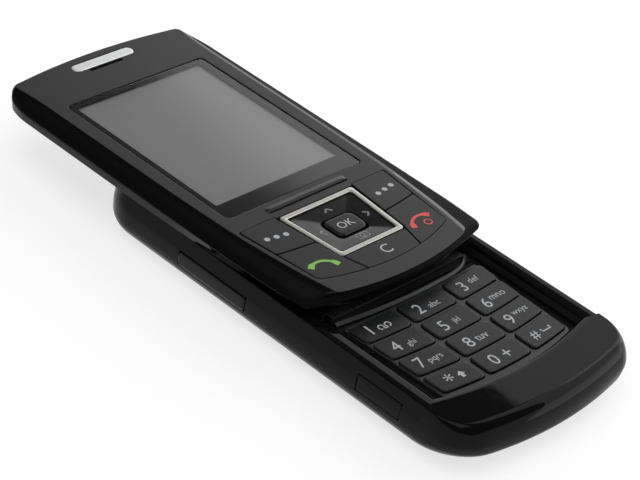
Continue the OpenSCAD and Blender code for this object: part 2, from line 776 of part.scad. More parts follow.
module flex_cable() {
    low_z = deck_z + base_plate_t + seat;
    high_z = under_z - seat - flex_t;
    bend_r = (high_z + flex_t - low_z) / 2;
    x = flex_w / 2;
    color("#b06a2a") place() {
        // Down to the main board, along the deck, round the bend and up to the upper board
        block([-x, flex_low_y, board_z + main_board_t], [x, flex_low_y + flex_t, low_z + flex_t]);
        block([-x, flex_low_y, low_z], [x, flex_bend_y, low_z + flex_t]);
        translate([-x, flex_bend_y, low_z + bend_r]) rotate([0, 90, 0]) difference() {
            cylinder(h = flex_w, r = bend_r, $fn = 48);
            translate([0, 0, -1]) cylinder(h = flex_w + 2, r = bend_r - flex_t, $fn = 48);
            block([-far, -far, -1], [far, 0, far]);
        }
        block([-x, flex_up_y, high_z], [x, flex_bend_y, high_z + flex_t]);
        block([-x, flex_up_y, high_z], [x, flex_up_y + flex_t, upper_board_z]);
    }
}

// ---------- inside the keypad half ----------

module main_board() {
    x = main_board_half_w;
    y = base_len - board_inset;
    color("#1f6b3f") place() difference() {
        translate([0, 0, board_z]) linear_extrude(main_board_t)
            polygon(rounded([[-x, chin_len + 0.4], [x, chin_len + 0.4], [x, y - 2], [x - 4, y],
                             [-x + 4, y], [-x, y - 2]], 2));
        for (s = screw_spots) translate(s) cylinder(h = far, r = boss_r + 0.3, $fn = 32);
        // Corner left free for the connector socket
        block([-far, port_mid_y - port_half_len - 0.2, -1],
              [-port_in_x + seat, port_mid_y + port_half_len + 0.2, far]);
    }
}

module battery() {
    color("#2f3d52") place() translate([0, 0, bay_z]) linear_extrude(battery_t)
        polygon(rounded([[-battery_w / 2, battery_y], [battery_w / 2, battery_y],
                         [battery_w / 2, battery_y + battery_len], [-battery_w / 2, battery_y + battery_len]],
                        [1.5, 1.5, 1, 1]));
}

module battery_cover() {
    color("#1b1b1d") place() {
        intersection() {
            base_form();
            block([-cover_half_w, -1, -1], [cover_half_w, cover_end_y, cover_t]);
        }
        cover_tabs(0, 0);
    }
}

module battery_contacts() {
    y = bay_high[1] + 0.1;
    color("#c9a648") place() for (x = [-3, 0, 3])
        block([x - 0.8, y, bay_z + 1.6], [x + 0.8, y + 1.3, board_z]);
}

module sim_holder() {
    x = sim_w / 2;
    color("#c4c6c8") place() difference() {
        block([-x, sim_y, bay_z], [x, sim_y + sim_len, bay_z + sim_t]);
        // Space of the card, open towards the back and the battery
        block([-x + 1, sim_y - 1, -1], [x - 1, sim_y + sim_len - 1, bay_z + 0.8]);
        // Thumb hole over the card
        translate([0, sim_y + sim_len / 2, -1]) cylinder(h = far, r = 3, $fn = 48);
    }
}

port_mid_y = port_cover_y + port_cover_len / 2;
port_half_len = port_cover_len / 2 - 0.45;
port_in_x = bay_high[0] + bay_wall + 0.15;
card_mid_y = card_cover_y + card_cover_len / 2;
card_half_len = card_cover_len / 2 - 0.5;

module connector_socket() {
    color("#a9abad") place() difference() {
        block([-half_w + wall + seat, port_mid_y - port_half_len, port_mid_z - 1.3],
              [-port_in_x, port_mid_y + port_half_len, hollow_top_z - seat]);
        block([-half_w, port_mid_y - port_half_len + 0.5, port_mid_z - 0.8],
              [-port_in_x - 0.6, port_mid_y + port_half_len - 0.5, port_mid_z + 0.5]);
    }
}

module card_socket() {
    x = half_w - wall;
    color("#a9abad") place() difference() {
        block([x - card_socket_len, card_mid_y - card_half_len, board_z - 1.9],
              [x - seat, card_mid_y + card_half_len, board_z - seat]);
        block([x - card_socket_len + 0.8, card_mid_y - card_half_len + 0.5, card_mid_z - 0.4],
              [half_w, card_mid_y + card_half_len - 0.5, card_mid_z + 0.4]);
    }
}

// The space of the flap over the connector, drawn in or let out by gap
module port_flap_space(gap) {
    y = [port_cover_y - gap, port_cover_y + port_cover_len + gap];
    block([-far, y[0], port_mid_z - port_cover_h / 2 - gap],
          [-half_w + flap_t + gap / 2, y[1], port_mid_z + port_cover_h / 2 + gap]);
}

module card_flap_space(gap) {
    block([half_w - flap_t - gap / 2, card_cover_y - gap, card_mid_z - card_cover_h / 2 - gap],
          [far, card_cover_y + card_cover_len + gap, card_mid_z + card_cover_h / 2 + gap]);
}

module connector_cover() {
    color("#1b1b1d") place() intersection() {
        base_skin();
        port_flap_space(0);
    }
}

module card_cover() {
    color("#1b1b1d") place() intersection() {
        base_skin();
        card_flap_space(0);
    }
}

side_key_z = hollow_top_z - 0.1 - side_key_h;
// Lips of the side keys stand off the wall by their travel
side_lip_x = half_w - wall - side_travel - 0.1;

module side_slot(side, y, length) {
    x = side * half_w;
    translate([x, y, side_key_z + side_key_h / 2])
        cube([2 * wall + 2, length + 2 * key_fit, side_key_h + 2 * key_fit - 0.04], center = true);
}

module side_key(side, y, length) {
    color("#111113") place() scale_x(side) {
        block([side_lip_x - 0.3, y - length / 2, side_key_z],
              [half_w + side_key_rise, y + length / 2, side_key_z + side_key_h]);
        block([side_lip_x - 0.3, y - length / 2 - 0.8, side_key_z],
              [side_lip_x, y + length / 2 + 0.8, side_key_z + side_key_h]);
    }
}

// Mirrors to the left where side is -1
module scale_x(side) {
    if (side < 0) mirror([1, 0, 0]) children();
    else children();
}

module volume_key() { side_key(-1, volume_y, volume_len); }
module camera_key() { side_key(1, camera_key_y, camera_key_len); }

module side_switches() {
    out = side_lip_x - 0.3 - side_travel - 0.1;
    color("#3a3a3a") place() {
        for (dy = [-5, 5]) mirror([1, 0, 0])
            block([main_board_half_w - 1, volume_y + dy - 1.4, board_z - 1.2],
                  [out, volume_y + dy + 1.4, board_z - seat]);
        block([main_board_half_w - 1, camera_key_y - 1.4, board_z - 1.2],
              [out, camera_key_y + 1.4, board_z - seat]);
    }
}

mic_y = chin_len - 1.9;

module microphone() {
    color("#c4c6c8") place() translate([mic_x, mic_y, hollow_top_z - seat - 1.6])
        cylinder(h = 1.6, r = 1.9, $fn = 48);
}

module antenna() {
    // Front wall of the hollow at its bowed ends
    y = chin_in(split_z - 1) + wall + chin_bow + seat;
    color("#b08d57") place() block([chin_corner_r + 0.35 - half_w, y, hollow_top_z - seat - 2.6],
                                   [mic_x - 2.6, chin_len - 0.2, hollow_top_z - seat]);
}

// Loudspeaker, motor and weight stand in a row between the upper screws, with the same gap at each
row_gap = (2 * (screw_high[0] - boss_r) - speaker_w - motor_len - weight_play - weight_len) / 3;
speaker_x = boss_r - screw_high[0] + row_gap + speaker_w / 2;
speaker_y = cover_end_y + 0.3;

module loudspeaker() {
    low_z = back_t + seat;
    color("#3a3a3a") place() block([speaker_x - speaker_w / 2, speaker_y, low_z],
                                   [speaker_x + speaker_w / 2, speaker_y + speaker_len, low_z + speaker_t]);
}

motor_x = speaker_x + speaker_w / 2 + row_gap;
motor_y = base_len - motor_inset;
motor_z = back_t + motor_low + motor_r;

module vibration_motor() {
    color("#b9bbbd") place() {
        translate([motor_x, motor_y, motor_z]) rotate([0, 90, 0])
            cylinder(h = motor_len, r = motor_r, $fn = 48);
        // Cradle on the floor, and the shaft
        block([motor_x + 1.5, motor_y - motor_r + 0.1, back_t + seat],
              [motor_x + motor_len - 1.5, motor_y + motor_r - 0.1, motor_z]);
        translate([motor_x + 1, motor_y, motor_z]) rotate([0, 90, 0])
            cylinder(h = motor_len + weight_len, r = 0.35, $fn = 24);
    }
}

module vibration_weight() {
    x = motor_x + motor_len + weight_play;
    color("#8d8f92") place() translate([x, motor_y, motor_z]) rotate([0, 90, 0]) difference() {
        union() {
            intersection() {
                cylinder(h = weight_len, r = motor_r, $fn = 48);
                block([0, -far, -1], [far, far, far]);
            }
            cylinder(h = weight_len, r = 0.8, $fn = 32);
        }
        translate([0, 0, -1]) cylinder(h = weight_len + 2, r = 0.4, $fn = 24);
    }
}

screw_top_z = hollow_top_z - 0.9;

module housing_screws() {
    color("#77797c") place() for (s = screw_spots) translate([s[0], s[1], 0]) {
        translate([0, 0, 0.35]) cylinder(h = 0.65, r = screw_head_r, $fn = 32);
        translate([0, 0, 0.7]) cylinder(h = screw_top_z - 0.7, r = screw_r, $fn = 24);
    }
}

// ---------- display half: shared shapes ----------

// One plan outline of the display half. corner is the lower corner, the next points lead up the side
// to the full half width w, and front and end draw in the two ends.
function slider_ring(corner, side, w, front, end, r_low, r_top) = let (
    c = corner[0], top = slider_len - end
) mirrored(rounded(
    concat([for (i = [0:3]) [c * 0.9 * i / 3, front + (corner[1] - front) * pow(i / 3.4, 2)]],
           [corner], side, [[w, top - 1.8], [w * 0.45, top - 0.35], [0, top]]),
    concat([0, 0, 0, 0, r_low], [for (s = side) 0], [r_top, 0, 0])));

// Plan outline at the face
function face_ring(d) = slider_ring(
    [face_corner_w - d, 2.6 + d],
    [[face_half_w - 2.3 - d, 11.7], [face_half_w - 0.9 - d, 24.7], [face_half_w - 0.3 - d, 41.7]],
    face_half_w - d, 0.35 + d, 0.3 + d, 1.5, 2.5);

// Plan outline where the display half is widest, drawn in by d
function wide_ring(d) = slider_ring(
    [half_w - 0.5 - d, 4.2 + d], [[half_w - d, 12]], half_w - d, d, d, 2.5, 5 - d);

// Plan outline at its underside, undercut at the lower corners
function under_ring(d) = slider_ring(
    [half_w - 7.2 - d, 3.2 + d],
    [[half_w - 3.4 - d, 8.2], [half_w - 1.2 - d, 20]], half_w - 0.4 - d, 0.8 + d, 0.3 + d, 0, 5 - d);

module ring_slice(z, ring) { translate([0, slider_y, z]) linear_extrude(0.001) polygon(ring); }

// The outer form of the display half
module slider_form() {
    wide_z = under_z + 0.56 * slider_t;
    hull() {
        ring_slice(under_z, under_ring(0));
        ring_slice(wide_z, wide_ring(0));
        ring_slice(wide_z + 0.6 * (face_z - wide_z), wide_ring(1.5));
        ring_slice(face_z - 0.001, face_ring(0));
    }
}

// The hollow of the display half between two heights
module slider_hollow(z0, z1) {
    translate([0, slider_y, z0]) linear_extrude(z1 - z0) intersection() {
        polygon(under_ring(1.2));
        polygon(face_ring(0.4 - (z0 < seam_z ? 1.6 : 0)));
    }
}

win_y0 = slider_y + window_y;
pic_y0 = win_y0 + picture_y;
lcd_y = [pic_y0 - 3.6, pic_y0 + picture_len + 1.9];
window_corner_r = 1.2;

function plate_outline(x, y0, y1, r) = rounded([[-x, y0], [x, y0], [x, y1], [-x, y1]], r);

// ---------- upper keys: outlines ----------

field_y = slider_y + field_top_y;
field_low_y = field_y - field_side_len;
field_low_w = field_half_w - 2.2;
frame_y = [field_y - 0.6 - frame_len, field_y - 0.6];

// Half width of the silver frame at y
function frame_x(y) = frame_bottom_w + (frame_top_w - frame_bottom_w) * (y - frame_y[0]) / frame_len;

// The silver frame's outline, drawn in by d
function frame_outline(d) = let (a = frame_y[0] + d, b = frame_y[1] - d)
    rounded([[-frame_x(a) + d, a], [frame_x(a) - d, a], [frame_x(b) - d, b], [-frame_x(b) + d, b]], 0.8);

// Outer edge of the key field at y
function field_x(y) = field_low_w + (field_half_w - field_low_w) * (y - field_low_y) / field_side_len;

// The key field's lower edge at x
function field_edge(x) = field_low_y - 3.2 + 3.2 * pow(x / field_low_w, 2);

// The line between the soft keys and the keys under them at x
function soft_line(x) = field_y - 10.5 + 1.3 * pow(x / field_low_w, 2);

soft_corners = let (g = key_gap / 2, in = frame_x(field_y) + 0.3)
    [[field_x(field_y - 9) - g, soft_line(field_x(field_y - 9)) + g], [field_half_w - g, field_y],
     [in, field_y], [frame_x(field_y - 10) + key_gap, soft_line(9) + g]];

// The line between the outer and the middle lower key, at the frame and at the field's edge
divide_top = frame_bottom_w - 0.1;
divide_low = frame_bottom_w - 1.4;

send_corners = let (g = key_gap / 2)
    [[divide_low + g, field_edge(divide_low)], [field_low_w, field_edge(field_low_w)],
     [field_x(field_y - 9) - g, soft_line(field_x(field_y - 9)) - g],
     [frame_x(field_y - 10) + key_gap, soft_line(9) - g], [frame_bottom_w + key_gap, frame_y[0] + 0.4],
     [divide_top + g, frame_y[0] - 0.2]];

clear_corners = let (g = key_gap / 2)
    [[-divide_low + g, field_edge(divide_low)], [0, field_edge(0)], [divide_low - g, field_edge(divide_low)],
     [divide_top - g, frame_y[0] - key_gap], [-divide_top + g, frame_y[0] - key_gap]];

// The key field: its opening in the front cover, without the silver frame
module field_outline(gap) {
    right = concat(
        [for (i = [0:4]) [field_low_w * i / 5, field_edge(field_low_w * i / 5)]],
        [[field_low_w, field_edge(field_low_w)], [field_half_w, field_y], [0, field_y]]);
    difference() {
        polygon(rounded(grown(mirrored(right), gap), [0, 0, 0, 0, 0, 1.5, 1, 0, 1, 1.5, 0, 0, 0, 0]));
        // The silver frame, and the bridge of the cover above it
        polygon([[-frame_x(frame_y[0]), frame_y[0]], [frame_x(frame_y[0]), frame_y[0]],
                 [frame_x(field_y + 1), field_y + 1], [-frame_x(field_y + 1), field_y + 1]]);
    }
}

// ---------- display half: pieces ----------

camera_y = open_len - camera_inset;
grille_y = open_len - grille_inset;

module slider_rear_housing() {
    floor_z = under_z + floor_t;
    color("#1b1b1d") place() difference() {
        union() {
            difference() {
                intersection() {
                    slider_form();
                    block([-far, 0, under_z - 1], [far, far, seam_z]);
                }
                slider_hollow(floor_z, seam_z + 1);
            }
            // Ribs that carry the upper board
            for (x = [-12, 12]) block([x - 0.5, slider_y + 8, floor_z - 0.1],
                                      [x + 0.5, open_len - camera_inset - camera_side - 4.3, upper_board_z]);
            for (s = slider_screw_spots) translate([s[0], s[1], floor_z - 0.1])
                cylinder(h = upper_board_z + 0.4 - floor_z, r = slider_shank_r + 0.7, $fn = 32);
        }
        // Recess of the slide plate, slot of the ribbon cable
        block([-slide_plate_half_w - seat, slide_plate_y[0] - seat, -1],
              [slide_plate_half_w + seat, slide_plate_y[1] + seat, under_z + slide_plate_t]);
        flex_slot(flex_up_y, floor_z + 0.1);
        for (s = slider_screw_spots) translate([s[0], s[1], 0])
            cylinder(h = upper_board_z + 0.2, r = slider_shank_r + seat, $fn = 24);
        // Camera window's seat and the hole behind it
        translate([camera_x, camera_y, -1]) cylinder(h = under_z + 1.4, r = camera_window_r + seat, $fn = 48);
        translate([camera_x, camera_y, 0]) cylinder(h = floor_z + 1, r = camera_window_r - 0.6, $fn = 48);
    }
}

module slider_front_cover() {
    color("#3a3a3c") place() difference() {
        intersection() {
            slider_form();
            block([-far, 0, seam_z], [far, far, far]);
        }
        slider_hollow(seam_z - 1, skin_z);
        // Window seat, and the opening over the picture
        translate([0, 0, window_z]) linear_extrude(far)
            polygon(plate_outline(window_half_w, win_y0, win_y0 + window_len, window_corner_r));
        block([-picture_w / 2 - 0.6, pic_y0 - 0.6, seam_z - 1],
              [picture_w / 2 + 0.6, pic_y0 + picture_len + 0.6, far]);
        // Key field
        translate([0, 0, seam_z - 1]) linear_extrude(far) field_outline(key_fit);
        // Seat of the silver frame, and the hole of the pad
        translate([0, 0, nav_seat_z]) linear_extrude(far) polygon(grown(frame_outline(0), seat));
        translate([0, 0, seam_z - 1]) linear_extrude(far) polygon(frame_outline(frame_bar - key_fit));
        // Earpiece
        translate([0, grille_y, face_z - grille_t]) linear_extrude(far)
            pill(grille_w + 2 * seat, grille_h + 2 * seat);
        translate([0, grille_y, seam_z - 1]) linear_extrude(far) pill(grille_w - 3, grille_h - 1.2);
    }
}

module pill(w, h) {
    square([w - h, h], center = true);
    for (x = [-1, 1]) translate([x * (w - h) / 2, 0]) circle(r = h / 2, $fn = 32);
}

module display_window() {
    y = [win_y0 + key_fit, win_y0 + window_len - key_fit];
    color([0.05, 0.05, 0.06, 0.5]) place() translate([0, 0, window_z]) linear_extrude(window_t)
        polygon(plate_outline(window_half_w - key_fit, y[0], y[1], window_corner_r));
}

module lcd_module() {
    color("#8f9092") place() translate([0, 0, lcd_z]) linear_extrude(lcd_t)
        polygon(plate_outline(picture_w / 2 + 1.6, lcd_y[0], lcd_y[1], 0.5));
}

module backlight() {
    color("#e8e8e4") place() translate([0, 0, backlight_z]) linear_extrude(backlight_t)
        polygon(plate_outline(picture_w / 2 + 1.2, lcd_y[0] + 0.4, lcd_y[1] - 0.4, 0.5));
}

module upper_board() {
    x = upper_board_half_w;
    color("#1f6b3f") place() difference() {
        translate([0, 0, upper_board_z]) linear_extrude(upper_board_t)
            polygon(rounded([[-x + 5, slider_y + 4.8], [x - 5, slider_y + 4.8], [x, slider_y + 10],
                             [x, open_len - 5.5], [-x, open_len - 5.5], [-x, slider_y + 10]], 1));
        for (s = slider_screw_spots) translate(s) cylinder(h = far, r = slider_shank_r + 0.9, $fn = 32);
        block([camera_x - camera_side / 2 - 0.2, camera_y - camera_side / 2 - 0.2, 0], [far, far, far]);
    }
}

module upper_dome_sheet() {
    color("#c9c4b0") place() block([-field_low_w + 1.6, field_low_y + 0.3, upper_sheet_z],
                                   [field_low_w - 1.6, field_y - 0.5, upper_sheet_z + sheet_t]);
}

grille_t = 0.7;

module earpiece_grille() {
    color("#d8d8d4") place() difference() {
        translate([0, grille_y, face_z - grille_t]) linear_extrude(grille_t) pill(grille_w, grille_h);
        for (i = [-3:3]) translate([i * 1.5, grille_y, 0]) cylinder(h = far, r = 0.4, $fn = 16);
    }
}

module earpiece_speaker() {
    x = (grille_w - 5) / 2;
    color("#3a3a3a") place() block([-x, grille_y - grille_h - 0.6, upper_board_z + upper_board_t],
                                   [x, grille_y + 0.4, skin_z - seat]);
}

module camera_module() {
    s = camera_side / 2;
    floor_z = under_z + floor_t;
    color("#303236") place() {
        block([camera_x - s, camera_y - s, floor_z + seat],
              [camera_x + s, camera_y + s, floor_z + seat + camera_h]);
        translate([camera_x, camera_y, under_z + 0.5])
            cylinder(h = floor_z - under_z, r = camera_window_r - 0.8, $fn = 48);
    }
}

module camera_window() {
    color([0.05, 0.05, 0.06, 0.5]) place() translate([camera_x, camera_y, under_z + 0.05])
        cylinder(h = 0.35, r = camera_window_r, $fn = 48);
}

nav_t = 0.6;
nav_seat_z = face_z - nav_t;

module nav_frame() {
    color("#cfcfc8") place() translate([0, 0, nav_seat_z]) linear_extrude(nav_t + 0.05) difference() {
        polygon(frame_outline(0));
        polygon(frame_outline(frame_bar));
    }
}

ok_y = (frame_y[0] + frame_y[1]) / 2 - 0.4;

// The middle key's outline, let out by d
function ok_outline(d) =
    plate_outline(ok_w / 2 + d, ok_y - ok_len / 2 - d, ok_y + ok_len / 2 + d, 1.3 + d);

module nav_key() {
    pivot_play = upper_travel + 0.1;
    color("#3a3a3c") place() difference() {
        union() {
            translate([0, 0, plunger_z + 0.1]) linear_extrude(face_z - 0.3 - plunger_z - 0.1)
                polygon(frame_outline(frame_bar + key_fit + 0.05));
            translate([0, 0, skin_z - pivot_play - lip_t]) linear_extrude(lip_t)
                polygon(frame_outline(frame_bar - key_fit - lip));
        }
        linear_extrude(far) polygon(ok_outline(ok_gap));
    }
}

module ok_key() {
    color("#55565a") place() translate([0, 0, plunger_z]) linear_extrude(face_z - 0.15 - plunger_z)
        polygon(ok_outline(0));
}

// An upper key: its cap, its lip shifted outwards by shift, and a plunger over its switch
module upper_key(corners, r, shift, spot) {
    p = rounded(corners, r);
    color("#4a4b4e") place() {
        translate([0, 0, upper_lip_z]) linear_extrude(face_z + 0.05 - upper_lip_z) polygon(p);
        translate([shift[0], shift[1], upper_lip_z]) linear_extrude(lip_t) polygon(p);
        translate([spot[0], spot[1], plunger_z])
            cylinder(h = upper_lip_z - plunger_z + 0.1, r = 1.2, $fn = 32);
    }
}

soft_r = [0.3, 1, 0.3, 0.3];
send_r = [0.2, 1.4, 0.3, 0.3, 0.2, 0.2];
soft_spot = [field_low_w - 3.2, field_y - 5];
send_spot = [field_low_w - 4.2, frame_y[0] + 0.6];

module right_soft_key() { upper_key(soft_corners, soft_r, [lip, lip], soft_spot); }
module left_soft_key() { mirror([1, 0, 0]) right_soft_key(); }
module end_key() { upper_key(send_corners, send_r, [lip, -lip], send_spot); }
module send_key() { mirror([1, 0, 0]) end_key(); }
module clear_key() { upper_key(clear_corners, [0.3, 0, 0.3, 0.3, 0.3], [0, -lip], [0, frame_y[0] - 2.8]); }

module slider_screws() {
    color("#77797c") place() for (s = slider_screw_spots) translate([s[0], s[1], under_z]) {
        cylinder(h = slide_plate_t, r = slider_head_r, $fn = 32);
        cylinder(h = upper_board_z + 0.1 - under_z, r = slider_shank_r, $fn = 24);
    }
}

rear_housing();
front_housing();
keypad_bezel();
key_1();
key_2();
key_3();
key_4();
key_5();
key_6();
key_7();
key_8();
key_9();
key_star();
key_0();
key_hash();
dome_sheet();
slide_base_plate();
battery_cover();
battery();
battery_contacts();
main_board();
side_switches();
sim_holder();
card_socket();
card_cover();
connector_socket();
connector_cover();
volume_key();
camera_key();
microphone();
loudspeaker();
antenna();
vibration_motor();
vibration_weight();
housing_screws();
slide_plate();
slide_runners();
slide_springs();
flex_cable();
slider_rear_housing();
slider_front_cover();
display_window();
lcd_module();
backlight();
upper_board();
upper_dome_sheet();
earpiece_grille();
earpiece_speaker();
camera_module();
camera_window();
nav_frame();
nav_key();
ok_key();
left_soft_key();
right_soft_key();
send_key();
end_key();
clear_key();
slider_screws();
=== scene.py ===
"""Slider phone lying open on its back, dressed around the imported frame.

Shapes are worked out in millimetres with y = 0 at the chin end, as the part's source does, and placed in the row
frame as the last step of each piece.
"""

import bmesh
import bpy
import numpy as np
from mathutils import Matrix, Vector
from mathutils.geometry import delaunay_2d_cdt

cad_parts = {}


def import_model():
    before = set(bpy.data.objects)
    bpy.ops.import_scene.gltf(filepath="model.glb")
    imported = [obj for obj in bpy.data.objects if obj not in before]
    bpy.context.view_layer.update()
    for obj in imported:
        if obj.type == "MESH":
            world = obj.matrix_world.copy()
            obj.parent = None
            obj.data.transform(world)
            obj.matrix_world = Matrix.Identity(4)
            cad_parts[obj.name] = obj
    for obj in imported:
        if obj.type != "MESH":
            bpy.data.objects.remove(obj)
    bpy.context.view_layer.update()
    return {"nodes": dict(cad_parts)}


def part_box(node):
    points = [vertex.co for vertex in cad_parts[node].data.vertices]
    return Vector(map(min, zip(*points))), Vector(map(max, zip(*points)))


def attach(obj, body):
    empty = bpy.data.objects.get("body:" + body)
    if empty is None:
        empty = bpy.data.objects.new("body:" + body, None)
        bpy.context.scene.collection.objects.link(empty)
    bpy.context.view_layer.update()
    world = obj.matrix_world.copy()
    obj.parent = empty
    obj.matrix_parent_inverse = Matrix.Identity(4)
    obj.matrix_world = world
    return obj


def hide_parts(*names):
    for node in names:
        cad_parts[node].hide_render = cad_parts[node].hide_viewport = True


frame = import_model()

MM = 0.001
MID_Y = 64.0  # where the row frame's origin lies
HALF_W = 24.75  # half of the phone's width
BASE_LEN = 99.2
BASE_ROUND = 4.5  # radius of the keypad half's lower edges
CHIN_OVER = 0.8  # how far the chin's smooth form passes the solid's
SEAM_Z = 3.2  # joint line of the keypad half's two shells
DECK_Z = 8.4
RAIL_Z = 9.8
SLIDER_Y = 38.3
SLIDER_LEN = 89.7
UNDER_Z = 10.1  # the display half's underside
FACE_Z = 14.1
SEAM_GAP = 0.05  # half the gap at a joint line
CREASE = 32  # degrees; flatter edges are shaded smooth
INK = 0.015  # height of a printed mark over its key


# ---------- materials ----------
def linear(colour):
    """An sRGB hex colour as linear red, green, blue and full alpha."""
    s = np.array([int(colour[i:i + 2], 16) for i in (1, 3, 5)]) / 255
    return (*np.where(s <= 0.04045, s / 12.92, ((s + 0.055) / 1.055) ** 2.4), 1.0)


def add(tree, kind, settings=(), links=()):
    """Adds a node. Settings are its properties or the values of its inputs, links name the sockets that feed inputs."""
    node = tree.nodes.new(kind)
    for key, value in dict(settings).items():
        if isinstance(key, str) and hasattr(node, key):
            setattr(node, key, value)
        else:
            node.inputs[key].default_value = value
    for key, socket in dict(links).items():
        tree.links.new(socket, node.inputs[key])
    return node


def start(name):
    """A new node material without its first nodes, its tree, and the place on the object that its textures use."""
    material = bpy.data.materials.new(name)
    material.use_nodes = True
    tree = material.node_tree
    tree.nodes.clear()
    return material, tree, add(tree, "ShaderNodeTexCoord").outputs["Object"]


def blend(tree, low, high, share):
    """A colour between two, by a share from 0 to 1."""
    return add(tree, "ShaderNodeMix", {"data_type": "RGBA", 6: linear(low), 7: linear(high)}, {0: share}).outputs[2]


def end(tree, shader):
    """Joins a shader to the material's output."""
    add(tree, "ShaderNodeOutputMaterial", links={"Surface": shader})


CLOUD = 9.0  # millimetres across one cloud of colour


def moulding(name, low, high, rough, grain, depth, specular=0.5, metallic=0.0, stretch=(1, 1, 1)):
    """A moulded, painted or plated surface. Its colour drifts between low and high in clouds of some millimetres,
    its roughness drifts between two values, and its grain in millimetres is a bump of the given depth."""
    material, tree, place = start(name)
    turned = add(tree, "ShaderNodeMapping", {"Scale": stretch}, {"Vector": place}).outputs["Vector"]
    clouds = add(tree, "ShaderNodeTexNoise", {"Scale": 1000 / CLOUD, "Detail": 3.0, "Roughness": 0.55},
                 {"Vector": place}).outputs["Fac"]
    fine = add(tree, "ShaderNodeTexNoise", {"Scale": 1000 / grain, "Detail": 2.0}, {"Vector": turned}).outputs["Fac"]
    colour = blend(tree, low, high, clouds)
    spread = {"From Min": 0.3, "From Max": 0.7, "To Min": rough[0], "To Max": rough[1]}
    gloss = add(tree, "ShaderNodeMapRange", spread, {"Value": fine}).outputs["Result"]
    bump = add(tree, "ShaderNodeBump", {"Strength": 1.0, "Distance": depth * MM}, {"Height": fine}).outputs["Normal"]
    body = {"Metallic": metallic}
    if metallic == 0.0:
        body["Specular IOR Level"] = specular
    shader = add(tree, "ShaderNodeBsdfPrincipled", body,
                 {"Base Color": colour, "Roughness": gloss, "Normal": bump})
    end(tree, shader.outputs["BSDF"])
    return material


# ABS moulded in a polished tool: near black, a clear even gloss with the faintest orange peel
gloss_abs = moulding("gloss_moulded_abs", "#0a0a0b", "#0e0e0f", (0.02, 0.05), 1.6, 0.0002, specular=0.12)
# ABS of the side keys and flaps, from another tool: a touch duller
key_abs = moulding("moulded_abs_side_keys", "#0a0a0b", "#101011", (0.14, 0.2), 0.5, 0.001, specular=0.2)
# The display half's slopes: the same black from an etched part of the tool, silky
satin_abs = moulding("etched_moulded_abs", "#0a0a0b", "#0d0d0e", (0.5, 0.6), 0.15, 0.0012, specular=0.04)
# Polycarbonate with a satin charcoal paint: soft sheen, fine overspray grain
satin_paint = moulding("satin_painted_face", "#1c1c1e", "#202022", (0.32, 0.4), 0.12, 0.0012, specular=0.3)
# The same paint on the keys of the face, a shade darker
key_paint = moulding("satin_painted_keys", "#18181a", "#1c1c1e", (0.3, 0.38), 0.12, 0.0012, specular=0.28)
# Keypad caps of moulded polycarbonate with a fine spark-eroded texture
cap_plastic = moulding("textured_keypad_caps", "#161718", "#1b1c1d", (0.24, 0.32), 0.18, 0.0015, specular=0.28)
# The keypad plate, greyer and slightly shinier than its caps
plate_plastic = moulding("moulded_keypad_plate", "#28292b", "#2e2f31", (0.26, 0.34), 0.2, 0.0015, specular=0.34)
# Pad of the four-way key: darker, smooth, its slopes catch the light
pad_plastic = moulding("smooth_moulded_pad", "#151516", "#19191a", (0.16, 0.22), 0.4, 0.0006, specular=0.3)
# Screen-printed border under the window: an even charcoal ink film
border_ink = moulding("screen_printed_border", "#2a2a2c", "#2f2f31", (0.5, 0.55), 2.0, 0.00005, specular=0.2)
# Nickel plating with a satin finish on the silver frame
satin_nickel = moulding("satin_nickel_plating", "#bbbab2", "#c6c5bd", (0.3, 0.36), 0.1, 0.0003, metallic=1.0)
# Satin chrome plating on the earpiece bar: nearly white, an even soft sheen
satin_chrome = moulding("satin_chrome_plating", "#f6f7f8", "#fafbfc", (0.42, 0.46), 1.2, 0.00002, metallic=1.0)
# Pad-printed ink of the legends, a pale cool grey, and the two call colours
pale_ink = moulding("pale_printed_ink", "#a9adb2", "#b9bcc0", (0.45, 0.55), 0.1, 0.0004)
green_ink = moulding("green_printed_ink", "#72b83a", "#82c648", (0.4, 0.5), 0.1, 0.0004)
red_ink = moulding("red_printed_ink", "#d63a34", "#e34a42", (0.4, 0.5), 0.1, 0.0004)
dim_ink = moulding("dim_printed_ink", "#76797d", "#84878b", (0.45, 0.55), 0.1, 0.0004)
# Rubber and matt mouldings in the depth between the keys; the same black on the floor of the groove under the finger
# ridge is painted shade
matt_black = moulding("matt_black_moulding", "#060606", "#0a0a0a", (0.6, 0.75), 0.2, 0.002, specular=0.2)
# Cold rolled stainless sheet: fine lines along the rolling direction
rolled_steel = moulding("rolled_stainless_sheet", "#9a9b9d", "#adaeb0", (0.25, 0.42), 0.25, 0.0006, metallic=1.0,
                        stretch=(1, 0.06, 1))
# Hard gold on contact springs and antenna pads
hard_gold = moulding("hard_gold_plating", "#c99a45", "#dcb262", (0.2, 0.3), 0.3, 0.0004, metallic=1.0)
# Solder resist on glass fibre board: green with the weave just showing
board_resist = moulding("green_solder_resist", "#0e4a26", "#16602f", (0.25, 0.35), 0.4, 0.004)
# Polyester switch sheet, warm and translucent looking
switch_film = moulding("polyester_switch_sheet", "#b9ac8c", "#cabd9e", (0.4, 0.5), 0.6, 0.002)
# Shrink-wrapped battery sleeve: blue-grey printed film
battery_film = moulding("printed_battery_sleeve", "#1f2a3c", "#2a374c", (0.35, 0.45), 0.8, 0.004, specular=0.4)
# Glass-filled nylon of inner mouldings
inner_nylon = moulding("glass_filled_nylon", "#17171a", "#1f1f22", (0.5, 0.62), 0.25, 0.004, specular=0.35)
# Black acetal runners: waxy, low friction
acetal = moulding("moulded_acetal_runner", "#101011", "#161617", (0.3, 0.4), 0.6, 0.001, specular=0.3)
# Polyimide ribbon over copper: amber brown
polyimide = moulding("polyimide_ribbon", "#7a3a14", "#94491c", (0.25, 0.35), 0.9, 0.002)
